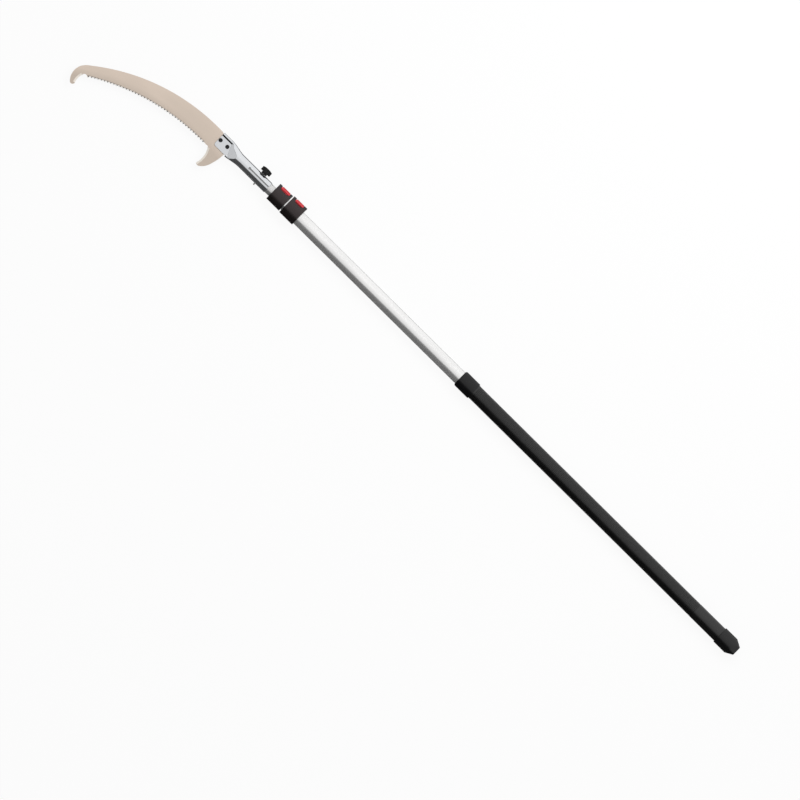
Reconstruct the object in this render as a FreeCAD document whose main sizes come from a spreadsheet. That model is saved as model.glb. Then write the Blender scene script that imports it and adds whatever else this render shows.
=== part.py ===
"""Telescoping pole saw: three nested oval tubes, two flip-lever clamp collars and a hooked saw blade.

The saw lies flat. +X runs along the pole from the butt to the blade, +Y towards the teeth, +Z up.
The origin is the middle of the butt face, on the pole's axis. Everything is in millimetres.

Every driving size is a named cell of the sheet. A sub-part is a body whose sketches and features are
bound to those cells, and it stands at its station along the pole through its Placement.
"""

import FreeCAD, Part
import math
import os
import re

import Sketcher
from FreeCAD import Placement, Rotation, Vector

# name of the cell, its number, what it is
SIZES = [
    # oval tubes: each wraps the next one in, all with the same arc centres
    ("inner_width", 30.7, "inner tube across the wide way"),
    ("inner_height", 21.0, "inner tube across the flat way"),
    ("inner_nose", 7.6, "inner tube's end radius"),
    ("tube_wall", 1.6, "wall of every tube"),
    ("tube_gap", 1.25, "space between one tube and the next"),
    # fits
    ("running_gap", 0.3, "space round what slides"),
    ("seat_gap", 0.05, "space round what is fixed"),
    ("pin_gap", 0.05, "radial play of a shaft in its hole"),
    # along the pole
    ("cap_length", 66.0, "butt cap"),
    ("grip_length", 969.0, "rubber sleeve"),
    ("grip_collar_length", 54.5, "ring at the top of the sleeve"),
    ("outer_exposed", 637.0, "bare outer tube"),
    ("collars_between", 3.6, "space between the two clamp collars"),
    ("inner_exposed", 17.0, "bare inner tube below the saw head"),
    # butt cap, grip and its ring
    ("cap_cone", 22.0, "length of the cap's taper"),
    ("cap_floor", 28.0, "butt face to the end of the tube"),
    ("cap_tip_width", 28.0, "butt face, wide way"),
    ("cap_tip_height", 22.0, "butt face, flat way"),
    ("cap_tip_corner", 7.0, "corner radius of the butt face"),
    ("cap_width", 52.0, "cap and ring, wide way"),
    ("cap_height", 41.0, "cap and ring, flat way"),
    ("cap_corner", 14.0, "corner radius of cap and ring"),
    ("cap_lip", 2.0, "rounding of the cap's open rim"),
    ("ring_round", 6.0, "rounding of the ring's upper rim"),
    ("grip_thickness", 2.0, "rubber sleeve's wall"),
    # guide plugs on the butt ends of the sliding tubes
    ("plug_standoff", 4.0, "space in front of each plug"),
    ("plug_flange", 10.0, "length that guides in the tube around it"),
    ("plug_spigot", 15.0, "length pushed into its own tube"),
    ("plug_wall", 3.0, "wall of the plug's spigot"),
    # clamp collars
    ("lower_collar_length", 50.0, "lower collar along the pole"),
    ("lower_collar_back", 35.6, "axis to the lever side"),
    ("lower_collar_front", 26.3, "axis to the teeth side"),
    ("lower_collar_height", 41.0, "lower collar's thickness"),
    ("lower_lever_start", 10.6, "collar's end to the lever's recess"),
    ("lower_lever_length", 30.0, "length of the recess"),
    ("upper_collar_length", 49.0, "upper collar along the pole"),
    ("upper_collar_back", 32.8, "axis to the lever side"),
    ("upper_collar_front", 24.6, "axis to the teeth side"),
    ("upper_collar_height", 37.0, "upper collar's thickness"),
    ("upper_lever_start", 7.8, "collar's end to the lever's recess"),
    ("upper_lever_length", 32.0, "length of the recess"),
    ("collar_corner", 13.0, "corner radius of both collars"),
    ("collar_socket", 20.0, "depth of the tube in its collar"),
    ("collar_lip", 2.0, "wall that holds the bush in"),
    ("lip_gap", 0.6, "space between that wall and the sliding tube"),
    ("bush_slit", 2.0, "slit that lets the bush close"),
    # flip levers
    ("lever_height", 11.1, "side of the lever"),
    ("lever_under", 0.4, "space under the lever"),
    ("lever_end_gap", 0.3, "space at the ends of the lever"),
    ("lever_corner", 3.0, "rounding of the free end"),
    ("skirt_height", 2.4, "set-back strip round the foot of the lever"),
    ("skirt_depth", 1.6, "how far that strip is set back"),
    ("lever_roof", 2.0, "wall over the lever's hollows"),
    ("lever_hollow", 11.5, "centre plane to the outer side of a hollow"),
    ("hollow_end", 4.0, "solid end of the lever before its hollows"),
    ("pivot_depth", 5.6, "outer face to the pivot"),
    ("web_half", 5.6, "half the thickness of web and cam"),
    ("web_gap", 0.5, "space beside the web"),
    ("ear_thickness", 4.0, "lug that holds the pivot pin"),
    ("ear_radius", 3.2, "round top of the lug"),
    ("lever_pin_radius", 2.0, "pivot pin"),
    ("driver_gap", 0.2, "play of the hole that the pin goes in by"),
    ("cam_radius", 3.4, "nose of the cam"),
    ("cam_gap", 0.1, "cam to bush with the lever closed"),
    # rivets that hold a collar to its tube
    ("rivet_spread", 14.0, "between the two rivets"),
    ("rivet_radius", 1.75, "shank"),
    ("rivet_head_radius", 3.5, "head"),
    ("rivet_head_height", 1.6, "head"),
    ("rivet_sag", 1.0, "fall of the tube's wall at a rivet"),
    # saw head, pressed from one tube
    ("head_length", 195.0, "saw head"),
    ("head_wall", 1.8, "steel of the head"),
    ("head_fit", 0.1, "play round the inner tube"),
    ("head_insert", 88.0, "inner tube inside the head"),
    ("flare_start", 95.0, "head's blade end to where the tube starts to flatten"),
    ("flare_end", 35.0, "head's blade end to where it is flat"),
    ("flatten_delay", 2.2, "how late the flattening comes after the widening"),
    ("back_rise_start", 85.0, "head's blade end to where the back starts to rise"),
    ("back_rise_end", 33.0, "head's blade end to where the back runs level again"),
    ("head_back", 24.1, "axis to the back of the flat end"),
    ("head_belly", 24.3, "axis to the flared teeth side"),
    ("roll_radius", 4.3, "round edge left along the back and the belly"),
    ("roll_height", 4.9, "half the thickness between the rolls, before the cheeks are pressed"),
    ("fold_radius", 4.0, "hollow between a roll and the flat cheek"),
    ("cheek_edge", 20.8, "axis to the cheeks' free edge"),
    ("cheek_corner", 8.0, "corner of the cheeks"),
    ("belly_end", 46.0, "head's blade end to where the flared side is cut off"),
    ("facet_apex", 73.0, "head's blade end to the start of the pressed slope"),
    ("facet_back", 37.0, "head's blade end to the slope's foot at the back"),
    ("facet_front", 50.0, "head's blade end to the slope's foot at the free edge"),
    ("facet_half", 14.5, "axis to those two feet"),
    ("slit_length", 75.0, "clamp slit"),
    ("slit_width", 3.0, "clamp slit"),
    ("slit_offset", 2.5, "slit off the axis, away from the teeth"),
    ("slit_hole_radius", 3.0, "drilled end of the slit"),
    # clamp screw and knob
    ("clamp_station", 36.0, "screw from the head's open end"),
    ("screw_radius", 2.5, "clamp screw"),
    ("screw_play", 0.6, "radial play of the screw in the tubes"),
    ("screw_tip", 22.6, "axis to the screw's tip"),
    ("screw_chamfer", 0.8, "screw's tip"),
    ("screw_in_knob", 12.0, "length of the screw inside the knob"),
    ("nut_radius", 5.0, "threaded insert"),
    ("nut_length", 5.0, "threaded insert"),
    ("hub_gap", 0.3, "knob's hub to the head"),
    ("hub_radius", 9.0, "knob's hub"),
    ("hub_length", 6.0, "knob's hub"),
    ("knob_radius", 16.5, "knob over its lobes"),
    ("knob_height", 14.2, "lobed part of the knob"),
    ("knob_scallop_radius", 5.0, "hollow between two lobes"),
    ("knob_scallop_depth", 2.2, "hollow between two lobes"),
    ("knob_lobes", 8, "number of lobes"),
    ("knob_dome", 3.0, "fall of the knob's domed top"),
    # bolts through blade and cheeks
    ("bolt_edge", 6.5, "head's blade end to the nearer bolt"),
    ("bolt_spacing", 26.5, "between the bolts"),
    ("bolt_offset", 1.2, "bolts off the axis, away from the teeth"),
    ("bolt_radius", 2.5, "shank"),
    ("bolt_head_radius", 6.0, "head"),
    ("bolt_head_height", 2.8, "head"),
    ("bolt_head_round", 1.4, "head's rounded rim"),
    ("bolt_end", 1.2, "shank beyond its nut"),
    ("cross_length", 6.4, "cross recess"),
    ("cross_width", 1.3, "cross recess"),
    ("cross_depth", 1.5, "cross recess"),
    ("nut_flats", 8.0, "across the flats of a nut"),
    ("nut_height", 4.0, "nut"),
    # blade
    ("blade_thickness", 1.8, "steel plate"),
    ("blade_gap", 0.05, "play of the plate between the cheeks"),
    ("blade_tilt", 2.8, "degrees that the blade leans back from the pole, about its bolts"),
    ("blade_back", 21.0, "axis to the start of the blade's back"),
    ("back_radius", 600.0, "blade's back"),
    ("tooth_arc_radius", 665.8, "arc through the tooth tips"),
    ("tooth_arc_apex", 40.5, "axis to the lowest point of that arc"),
    ("tooth_arc_beyond", 2.3, "centre of that arc past the head's blade end"),
    ("first_tooth", 15.5, "lowest point to the first tooth, along the arc"),
    ("tooth_pitch", 4.65, "tooth to tooth"),
    ("tooth_count", 82, "number of teeth"),
    ("hook_gap", 4.65, "last tooth to the hook's throat"),
    ("tooth_depth", 4.3, "tip to root"),
    ("tooth_bevel", 1.5, "width of a tooth's ground face where it ends"),
    ("tooth_runout", 1.5, "how far that grinding runs past the root"),
    ("tooth_land", 0.3, "steel left under a ground face at the far side"),
    # pruning hook, measured along and behind the toothed arc from the throat
    ("hook_shoulder_before", 7.4, "end of the blade's back"),
    ("hook_shoulder_behind", 33.9, "end of the blade's back"),
    ("hook_crown_past", 19.9, "top of the hook's outer bend"),
    ("hook_crown_behind", 27.4, "top of the hook's outer bend"),
    ("hook_crown_radius", 57.0, "outer bend up to the top"),
    ("hook_outer_radius", 45.0, "outer bend down to the ball"),
    ("ball_outer_past", 40.9, "ball at the hook's end"),
    ("ball_outer_beyond", 21.2, "ball at the hook's end"),
    ("ball_inner_past", 26.2, "ball at the hook's end"),
    ("ball_inner_beyond", 21.5, "ball at the hook's end"),
    ("ball_radius", 7.45, "ball at the hook's end"),
    ("hook_inner_radius", 43.8, "cutting edge inside the hook"),
    ("hook_throat_past", 10.6, "end of that edge at the throat"),
    ("hook_throat_behind", 4.0, "end of that edge at the throat"),
    ("hook_throat_before", 3.8, "throat's end at the teeth"),
    ("hook_throat_rise", 0.2, "throat's end at the teeth"),
    ("hook_throat_radius", 8.0, "throat"),
    # heel hook, measured from the tip arc's height at the first tooth
    ("sickle_reach", 51.0, "length of the heel hook"),
    ("sickle_throat_before", 4.2, "throat's end at the teeth"),
    ("sickle_throat_behind", 2.3, "throat's end at the teeth"),
    ("sickle_root_before", 14.6, "throat's end at the cutting edge"),
    ("sickle_root_behind", 0.8, "throat's end at the cutting edge"),
    ("sickle_throat_radius", 6.6, "throat"),
    ("sickle_tip_before", 23.6, "point of the heel hook"),
    ("sickle_tip_width", 12.4, "blunt end of the heel hook"),
    ("sickle_tip_fall", 1.2, "slant of the blunt end"),
    ("sickle_tip_radius", 9.0, "blunt end"),
    ("sickle_edge_radius", 62.0, "cutting edge inside the heel hook"),
    ("sickle_shoulder_before", 54.2, "back of the heel hook"),
    ("sickle_shoulder_share", 0.44, "height of that point as a share of the reach"),
    ("sickle_bend_radius", 49.2, "back of the heel hook, outer bend"),
    ("sickle_heel_before", 59.8, "heel at the cheeks"),
    ("sickle_heel_behind", 13.0, "heel at the cheeks"),
    ("sickle_back_radius", 143.0, "back of the heel hook, upper stretch"),
    ("hook_bevel", 5.5, "width of the ground face inside each hook"),
    ("hook_land", 0.5, "edge left by that grinding"),
    # tang between the cheeks
    ("tang_inset", 4.0, "tang's back below the blade's back"),
    ("tang_chamfer", 3.0, "tang's hidden corner"),
    ("tang_end", 2.0, "cheeks' end to where the tang starts to widen"),
    ("tang_slope", 7.0, "length over which it widens"),
]

ALIASES = {name for name, _, _ in SIZES}

doc = FreeCAD.newDocument("pole_saw")
sheet = doc.addObject("Spreadsheet::Sheet", "sizes")
for row, (name, number, note) in enumerate(SIZES, start=1):
    sheet.set(f"A{row}", name)
    sheet.set(f"B{row}", str(number))
    sheet.set(f"C{row}", note)
    sheet.setAlias(f"B{row}", name)
doc.recompute()

SUB_PARTS = []


# ---------------------------------------------------------------- helpers


def bound(text):
    """The expression with each cell's name tied to the sheet."""
    return re.sub(r"[a-z]\w*", lambda m: f"sizes.{m.group()}" if m.group() in ALIASES else m.group(), text)


def value(text):
    """The number that an expression of cells gives now."""
    return float(sheet.evalExpression(text))


def register(part, label, station="0"):
    """Name a finished sub-part and stand it at its station along the pole."""
    part.Label = label
    part.setExpression("Placement.Base.x", bound(station))
    SUB_PARTS.append(part)
    return part


def new_body(label, station="0"):
    body = doc.addObject("PartDesign::Body", f"{label}_body")
    body.AllowCompound = True
    return register(body, label, station)


def new_sketch(body, name, role, offset="0"):
    """An empty sketch on one of the body's own planes, lifted off it by an expression."""
    sketch = body.newObject("Sketcher::SketchObject", f"{body.Label}_{name}")
    plane = next(p for p in body.Origin.OriginFeatures if p.Role == role)
    sketch.AttachmentSupport = [(plane, "")]
    sketch.MapMode = "FlatFace"
    sketch.setExpression("AttachmentOffset.Base.z", bound(offset))
    return sketch


def feature(body, kind, name, sketch, length=None, reverse=False, midplane=False, through=False):
    """A Pad or Pocket of one sketch."""
    item = body.newObject(f"PartDesign::{kind}", f"{body.Label}_{name}")
    item.Profile = sketch
    item.Reversed = reverse
    if midplane:
        item.Midplane = True
    if through:
        item.Type = "ThroughAll"
    else:
        item.setExpression("Length", bound(length))
    doc.recompute()
    return item


def constrain(sketch, kind, *where, number=None, expression=None):
    """One constraint, bound to an expression where it has one."""
    parts = where if number is None else (*where, number)
    index = sketch.addConstraint(Sketcher.Constraint(kind, *parts))
    if expression is not None:
        sketch.setExpression(f"Constraints[{index}]", bound(expression))


def hold(sketch, element, end, across, up):
    """Tie one point of a sketch to its two coordinates."""
    for kind, axis, expression in (("DistanceX", -2, across), ("DistanceY", -1, up)):
        number = value(expression)
        if abs(number) < 1e-9:
            constrain(sketch, "PointOnObject", element, end, axis)
        elif number > 0:
            constrain(sketch, kind, -1, 1, element, end, number=number, expression=expression)
        else:
            constrain(sketch, kind, element, end, -1, 1, number=-number, expression=f"-({expression})")


def circle(sketch, across, up, radius):
    centre = Vector(value(across), value(up), 0)
    element = sketch.addGeometry(Part.Circle(centre, Vector(0, 0, 1), value(radius)), False)
    constrain(sketch, "Radius", element, number=value(radius), expression=radius)
    hold(sketch, element, 3, across, up)


def polygon(sketch, corners):
    """A closed outline of straight lines through corners given as pairs of expressions."""
    points = [Vector(value(across), value(up), 0) for across, up in corners]
    lines = [
        sketch.addGeometry(Part.LineSegment(points[i], points[(i + 1) % len(points)]), False)
        for i in range(len(points))
    ]
    for i, line in enumerate(lines):
        constrain(sketch, "Coincident", line, 2, lines[(i + 1) % len(lines)], 1)
        hold(sketch, line, 1, *corners[i])


def rectangle(sketch, left, right, low, high):
    polygon(sketch, [(left, low), (right, low), (right, high), (left, high)])


def round_rectangle(sketch, left, right, low, high, radius):
    """Four straight sides joined by four equal corners."""
    x0, x1, y0, y1, r = (value(e) for e in (left, right, low, high, radius))
    sides = [
        ((x0 + r, y0), (x1 - r, y0)),
        ((x1, y0 + r), (x1, y1 - r)),
        ((x1 - r, y1), (x0 + r, y1)),
        ((x0, y1 - r), (x0, y0 + r)),
    ]
    centres = [(x1 - r, y0 + r), (x1 - r, y1 - r), (x0 + r, y1 - r), (x0 + r, y0 + r)]
    lines = []
    arcs = []
    for i, (start, end) in enumerate(sides):
        segment = Part.LineSegment(Vector(*start, 0), Vector(*end, 0))
        lines.append(sketch.addGeometry(segment, False))
        ring = Part.Circle(Vector(*centres[i], 0), Vector(0, 0, 1), r)
        turn = math.pi / 2 * (i - 1)
        arcs.append(sketch.addGeometry(Part.ArcOfCircle(ring, turn, turn + math.pi / 2), False))
    for i in range(4):
        constrain(sketch, "Tangent", lines[i], 2, arcs[i], 1)
        constrain(sketch, "Tangent", arcs[i], 2, lines[(i + 1) % 4], 1)
        constrain(sketch, "Horizontal" if i % 2 == 0 else "Vertical", lines[i])
    for arc in arcs[1:]:
        constrain(sketch, "Equal", arcs[0], arc)
    constrain(sketch, "Radius", arcs[0], number=r, expression=radius)
    for kind, element, number, expression in (
        ("DistanceY", lines[0], y0, low),
        ("DistanceX", lines[1], x1, right),
        ("DistanceY", lines[2], y1, high),
        ("DistanceX", lines[3], x0, left),
    ):
        if number > 0:
            constrain(sketch, kind, -1, 1, element, 1, number=number, expression=expression)
        else:
            constrain(sketch, kind, element, 1, -1, 1, number=-number, expression=f"-({expression})")


def oval_numbers(grow):
    """Half width, half height, nose radius and side radius of the tube oval grown by a distance."""
    half_width = value("inner_width / 2") + grow
    half_height = value("inner_height / 2") + grow
    nose = value("inner_nose") + grow
    across = half_width - nose
    side = (across**2 + half_height**2 - nose**2) / (2 * (half_height - nose))
    return half_width, half_height, nose, side


def oval(sketch, grow):
    """The tubes' oval, four tangent arcs, grown outwards from the inner tube by an expression."""
    half_width, half_height, nose, side = oval_numbers(value(grow))
    turn = math.atan2(side - half_height, half_width - nose)
    shapes = [
        (half_width - nose, 0, nose, -turn, turn),
        (0, half_height - side, side, turn, math.pi - turn),
        (nose - half_width, 0, nose, math.pi - turn, math.pi + turn),
        (0, side - half_height, side, math.pi + turn, 2 * math.pi - turn),
    ]
    arcs = []
    for x, y, radius, start, end in shapes:
        ring = Part.Circle(Vector(x, y, 0), Vector(0, 0, 1), radius)
        arcs.append(sketch.addGeometry(Part.ArcOfCircle(ring, start, end), False))
    for i in range(4):
        constrain(sketch, "Tangent", arcs[i], 2, arcs[(i + 1) % 4], 1)
    constrain(sketch, "PointOnObject", arcs[0], 3, -1)
    constrain(sketch, "PointOnObject", arcs[1], 3, -2)
    constrain(sketch, "PointOnObject", arcs[3], 3, -2)
    constrain(sketch, "Equal", arcs[0], arcs[2])
    constrain(sketch, "Equal", arcs[1], arcs[3])
    nose_text = f"(inner_nose + {grow})"
    across = "(inner_width / 2 - inner_nose)"
    height_text = f"(inner_height / 2 + {grow})"
    side_text = f"({across}^2 + {height_text}^2 - {nose_text}^2) / (2 * ({height_text} - {nose_text}))"
    constrain(sketch, "Radius", arcs[0], number=nose, expression=nose_text)
    constrain(sketch, "DistanceX", -1, 1, arcs[0], 3, number=half_width - nose, expression=across)
    constrain(sketch, "Radius", arcs[1], number=side, expression=side_text)


def rim_edges(body, station, keep):
    """Names of the edges that lie in one cross-section of a body and pass a test of their middle point."""
    names = []
    for index, edge in enumerate(body.Shape.Edges, start=1):
        box = edge.BoundBox
        if abs(box.XMin - station) < 1e-4 and abs(box.XMax - station) < 1e-4:
            middle = edge.valueAt((edge.FirstParameter + edge.LastParameter) / 2)
            if keep(middle):
                names.append(f"Edge{index}")
    return names


def round_rim(body, name, edges, radius):
    """A fillet along some of the edges of a body's last feature."""
    base = body.Tip
    item = body.newObject("PartDesign::Fillet", f"{body.Label}_{name}")
    item.Base = (base, edges)
    item.setExpression("Radius", bound(radius))
    body.Tip = item
    doc.recompute()


# ---------------------------------------------------------------- stations and sections

NEST_STEP = "(tube_wall + tube_gap)"
GROW = {"inner": "0", "middle": NEST_STEP, "outer": f"(2 * {NEST_STEP})"}

AT_RING = "(cap_length + grip_length)"
AT_LOWER_COLLAR = f"({AT_RING} + grip_collar_length + outer_exposed)"
AT_UPPER_COLLAR = f"({AT_LOWER_COLLAR} + lower_collar_length + collars_between)"
AT_HEAD = f"({AT_UPPER_COLLAR} + upper_collar_length + inner_exposed)"
AT_MIDDLE_PLUG = "(cap_floor + plug_standoff)"
AT_MIDDLE_TUBE = f"({AT_MIDDLE_PLUG} + plug_flange)"
AT_INNER_PLUG = f"({AT_MIDDLE_TUBE} + plug_spigot + plug_standoff)"
AT_INNER_TUBE = f"({AT_INNER_PLUG} + plug_flange)"


# ---------------------------------------------------------------- tubes, grip and plugs


def rivet_circles(sketch, radius, station):
    """Two circles across the pole, one for each rivet of a collar."""
    circle(sketch, station, "rivet_spread / 2", radius)
    circle(sketch, station, "-rivet_spread / 2", radius)


def make_tube(label, grow, start, end, riveted_at=None):
    """One oval tube, with its rivet holes on the hidden side where a collar sits on its end."""
    body = new_body(label, start)
    section = new_sketch(body, "section", "YZ_Plane")
    oval(section, grow)
    oval(section, f"({grow} - tube_wall)")
    feature(body, "Pad", "wall", section, f"{end} - {start}")
    if riveted_at:
        holes = new_sketch(body, "rivet_holes", "XY_Plane")
        rivet_circles(holes, "rivet_radius + seat_gap", f"{riveted_at} - {start}")
        feature(body, "Pocket", "rivets", holes, "inner_height + " + NEST_STEP + " * 2")
    return body


def make_inner_tube():
    """The thinnest tube, drilled for the clamp screw inside the saw head."""
    body = make_tube("inner_tube", GROW["inner"], AT_INNER_TUBE, f"({AT_HEAD} + head_insert)")
    holes = new_sketch(body, "screw_holes", "XZ_Plane")
    circle(holes, f"{AT_HEAD} + clamp_station - {AT_INNER_TUBE}", "0", "screw_radius + screw_play")
    feature(body, "Pocket", "screw", holes, "inner_width * 2", midplane=True)


def make_guide_plug(label, station, own, around):
    """A plastic plug: a flange that guides in the tube around it, a spigot in its own tube, both open."""
    body = new_body(label, station)
    flange = new_sketch(body, "flange", "YZ_Plane")
    oval(flange, f"({around} - tube_wall - running_gap)")
    feature(body, "Pad", "flange_pad", flange, "plug_flange")
    spigot = new_sketch(body, "spigot", "YZ_Plane", "plug_flange")
    oval(spigot, f"({own} - tube_wall - seat_gap)")
    feature(body, "Pad", "spigot_pad", spigot, "plug_spigot")
    core = new_sketch(body, "core", "YZ_Plane")
    oval(core, f"({own} - tube_wall - seat_gap - plug_wall)")
    feature(body, "Pocket", "core_pocket", core, through=True, reverse=True)


def make_grip_sleeve():
    body = new_body("grip_sleeve", "cap_length")
    section = new_sketch(body, "section", "YZ_Plane")
    oval(section, f"({GROW['outer']} + seat_gap + grip_thickness)")
    oval(section, f"({GROW['outer']} + seat_gap)")
    feature(body, "Pad", "wall", section, "grip_length")


def cap_section(sketch):
    round_rectangle(
        sketch, "-cap_width / 2", "cap_width / 2", "-cap_height / 2", "cap_height / 2", "cap_corner"
    )


def outside_oval(point):
    """Whether a point of a cross-section lies well outside the outer tube."""
    half_width, half_height, _, _ = oval_numbers(value(GROW["outer"]) + value("tube_wall"))
    return (point.y / half_width) ** 2 + (point.z / half_height) ** 2 > 1


def make_end_cap():
    """Butt cap: a tapered nose, a straight skirt round the tube and a rounded rim."""
    body = new_body("end_cap")
    tip = new_sketch(body, "tip", "YZ_Plane")
    round_rectangle(
        tip,
        "-cap_tip_width / 2",
        "cap_tip_width / 2",
        "-cap_tip_height / 2",
        "cap_tip_height / 2",
        "cap_tip_corner",
    )
    shoulder = new_sketch(body, "shoulder", "YZ_Plane", "cap_cone")
    cap_section(shoulder)
    cone = body.newObject("PartDesign::AdditiveLoft", "end_cap_cone")
    cone.Profile = tip
    cone.Sections = [shoulder]
    doc.recompute()
    skirt = new_sketch(body, "skirt", "YZ_Plane", "cap_cone")
    cap_section(skirt)
    feature(body, "Pad", "skirt_pad", skirt, "cap_length - cap_cone")
    socket = new_sketch(body, "socket", "YZ_Plane", "cap_length")
    oval(socket, f"({GROW['outer']} + seat_gap)")
    feature(body, "Pocket", "socket_pocket", socket, "cap_length - cap_floor")
    round_rim(body, "rim", rim_edges(body, value("cap_length"), outside_oval), "cap_lip")


def make_grip_collar():
    """Moulded ring that finishes the sleeve, rounded at its upper rim."""
    body = new_body("grip_collar", AT_RING)
    section = new_sketch(body, "section", "YZ_Plane")
    cap_section(section)
    oval(section, f"({GROW['outer']} + seat_gap)")
    feature(body, "Pad", "ring", section, "grip_collar_length")
    end = value(f"{AT_RING} + grip_collar_length")
    round_rim(body, "rim", rim_edges(body, end, outside_oval), "ring_round")


# ---------------------------------------------------------------- clamp collars and flip levers


class Clamp:
    """Names and expressions of one clamp: a collar on a fixed tube that grips the tube sliding in it."""

    def __init__(self, side, fixed, sliding, station):
        self.side = side
        self.fixed = GROW[fixed]
        self.sliding = GROW[sliding]
        self.station = station
        self.length = f"{side}_collar_length"
        self.back = f"{side}_collar_back"
        self.front = f"{side}_collar_front"
        self.height = f"{side}_collar_height"
        self.recess_start = f"{side}_lever_start"
        self.recess_end = f"({side}_lever_start + {side}_lever_length)"
        self.pivot_x = f"({self.recess_end} - lever_end_gap - pivot_depth)"
        self.pivot_y = f"(pivot_depth - {self.back})"
        self.floor_y = f"(lever_height + lever_under - {self.back})"
        self.bush_nose = f"(inner_width / 2 + {self.fixed})"
        self.cam_reach = f"({self.back} - pivot_depth - {self.bush_nose} - cam_gap)"

    def outline(self, sketch):
        """The collar's cross-section, off centre towards the lever."""
        half = f"{self.height} / 2"
        round_rectangle(sketch, f"-{self.back}", self.front, f"-{half}", half, "collar_corner")


def make_collar(clamp):
    """The housing: socket, bush seat, lever recess with two pin lugs, cam window and rivet holes."""
    body = new_body(f"{clamp.side}_collar", clamp.station)
    section = new_sketch(body, "section", "YZ_Plane")
    clamp.outline(section)
    feature(body, "Pad", "block", section, clamp.length)

    seat = new_sketch(body, "seat", "YZ_Plane")
    oval(seat, f"({clamp.fixed} + seat_gap)")
    feature(body, "Pocket", "seat_pocket", seat, f"{clamp.length} - collar_lip", reverse=True)
    mouth = new_sketch(body, "mouth", "YZ_Plane")
    oval(mouth, f"({clamp.sliding} + lip_gap)")
    feature(body, "Pocket", "mouth_pocket", mouth, through=True, reverse=True)

    recess = new_sketch(body, "recess", "XY_Plane")
    recess_outline(recess, clamp)
    feature(body, "Pocket", "recess_pocket", recess, f"{clamp.height} * 2", midplane=True)

    for name, offset in (
        ("upper_ear", "web_half + web_gap"),
        ("under_ear", "-web_half - web_gap - ear_thickness"),
    ):
        ear = new_sketch(body, name, "XY_Plane", offset)
        ear_outline(ear, clamp)
        feature(body, "Pad", f"{name}_pad", ear, "ear_thickness")

    window = new_sketch(body, "window", "XY_Plane")
    rectangle(
        window,
        f"{clamp.pivot_x} - {clamp.cam_reach}",
        f"{clamp.pivot_x} + cam_radius + web_gap * 2",
        clamp.pivot_y,
        f"cam_radius - {clamp.bush_nose}",
    )
    feature(body, "Pocket", "window_pocket", window, "(web_half + web_gap) * 2", midplane=True)

    pin = new_sketch(body, "pin_hole", "XY_Plane")
    circle(pin, clamp.pivot_x, clamp.pivot_y, "lever_pin_radius + seat_gap / 2")
    feature(body, "Pocket", "pin_pocket", pin, f"{clamp.height} * 2", midplane=True)

    heads = new_sketch(body, "rivet_heads", "XY_Plane", f"-{clamp.height} / 2")
    rivet_circles(heads, "rivet_head_radius + seat_gap", "collar_socket / 2")
    feature(body, "Pocket", "heads_pocket", heads, "rivet_head_height", reverse=True)
    shanks = new_sketch(body, "rivet_shanks", "XY_Plane")
    rivet_circles(shanks, "rivet_radius + seat_gap", "collar_socket / 2")
    feature(body, "Pocket", "shanks_pocket", shanks, clamp.height)


def recess_outline(sketch, clamp):
    """Side of the lever's recess: its floor runs up round the hinge."""
    x0, x1 = value(clamp.recess_start), value(clamp.recess_end)
    top, floor = -value(clamp.back) - 1, value(clamp.floor_y)
    px, py = value(clamp.pivot_x), value(clamp.pivot_y)
    ring = Part.Circle(Vector(px, py, 0), Vector(0, 0, 1), x1 - px)
    hinge = sketch.addGeometry(Part.ArcOfCircle(ring, 0, math.pi / 2), False)
    back = sketch.addGeometry(Part.LineSegment(Vector(px, floor, 0), Vector(x0, floor, 0)), False)
    front = sketch.addGeometry(Part.LineSegment(Vector(x0, floor, 0), Vector(x0, top, 0)), False)
    lid = sketch.addGeometry(Part.LineSegment(Vector(x0, top, 0), Vector(x1, top, 0)), False)
    end = sketch.addGeometry(Part.LineSegment(Vector(x1, top, 0), Vector(x1, py, 0)), False)
    constrain(sketch, "Tangent", hinge, 2, back, 1)
    constrain(sketch, "Coincident", back, 2, front, 1)
    constrain(sketch, "Coincident", front, 2, lid, 1)
    constrain(sketch, "Coincident", lid, 2, end, 1)
    constrain(sketch, "Tangent", end, 2, hinge, 1)
    constrain(sketch, "Horizontal", back)
    constrain(sketch, "Vertical", front)
    constrain(sketch, "Horizontal", lid)
    constrain(sketch, "Vertical", end)
    constrain(sketch, "Radius", hinge, number=x1 - px, expression="pivot_depth + lever_end_gap")
    hold(sketch, hinge, 3, clamp.pivot_x, clamp.pivot_y)
    hold(sketch, lid, 1, clamp.recess_start, f"-{clamp.back} - 1")


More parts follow.
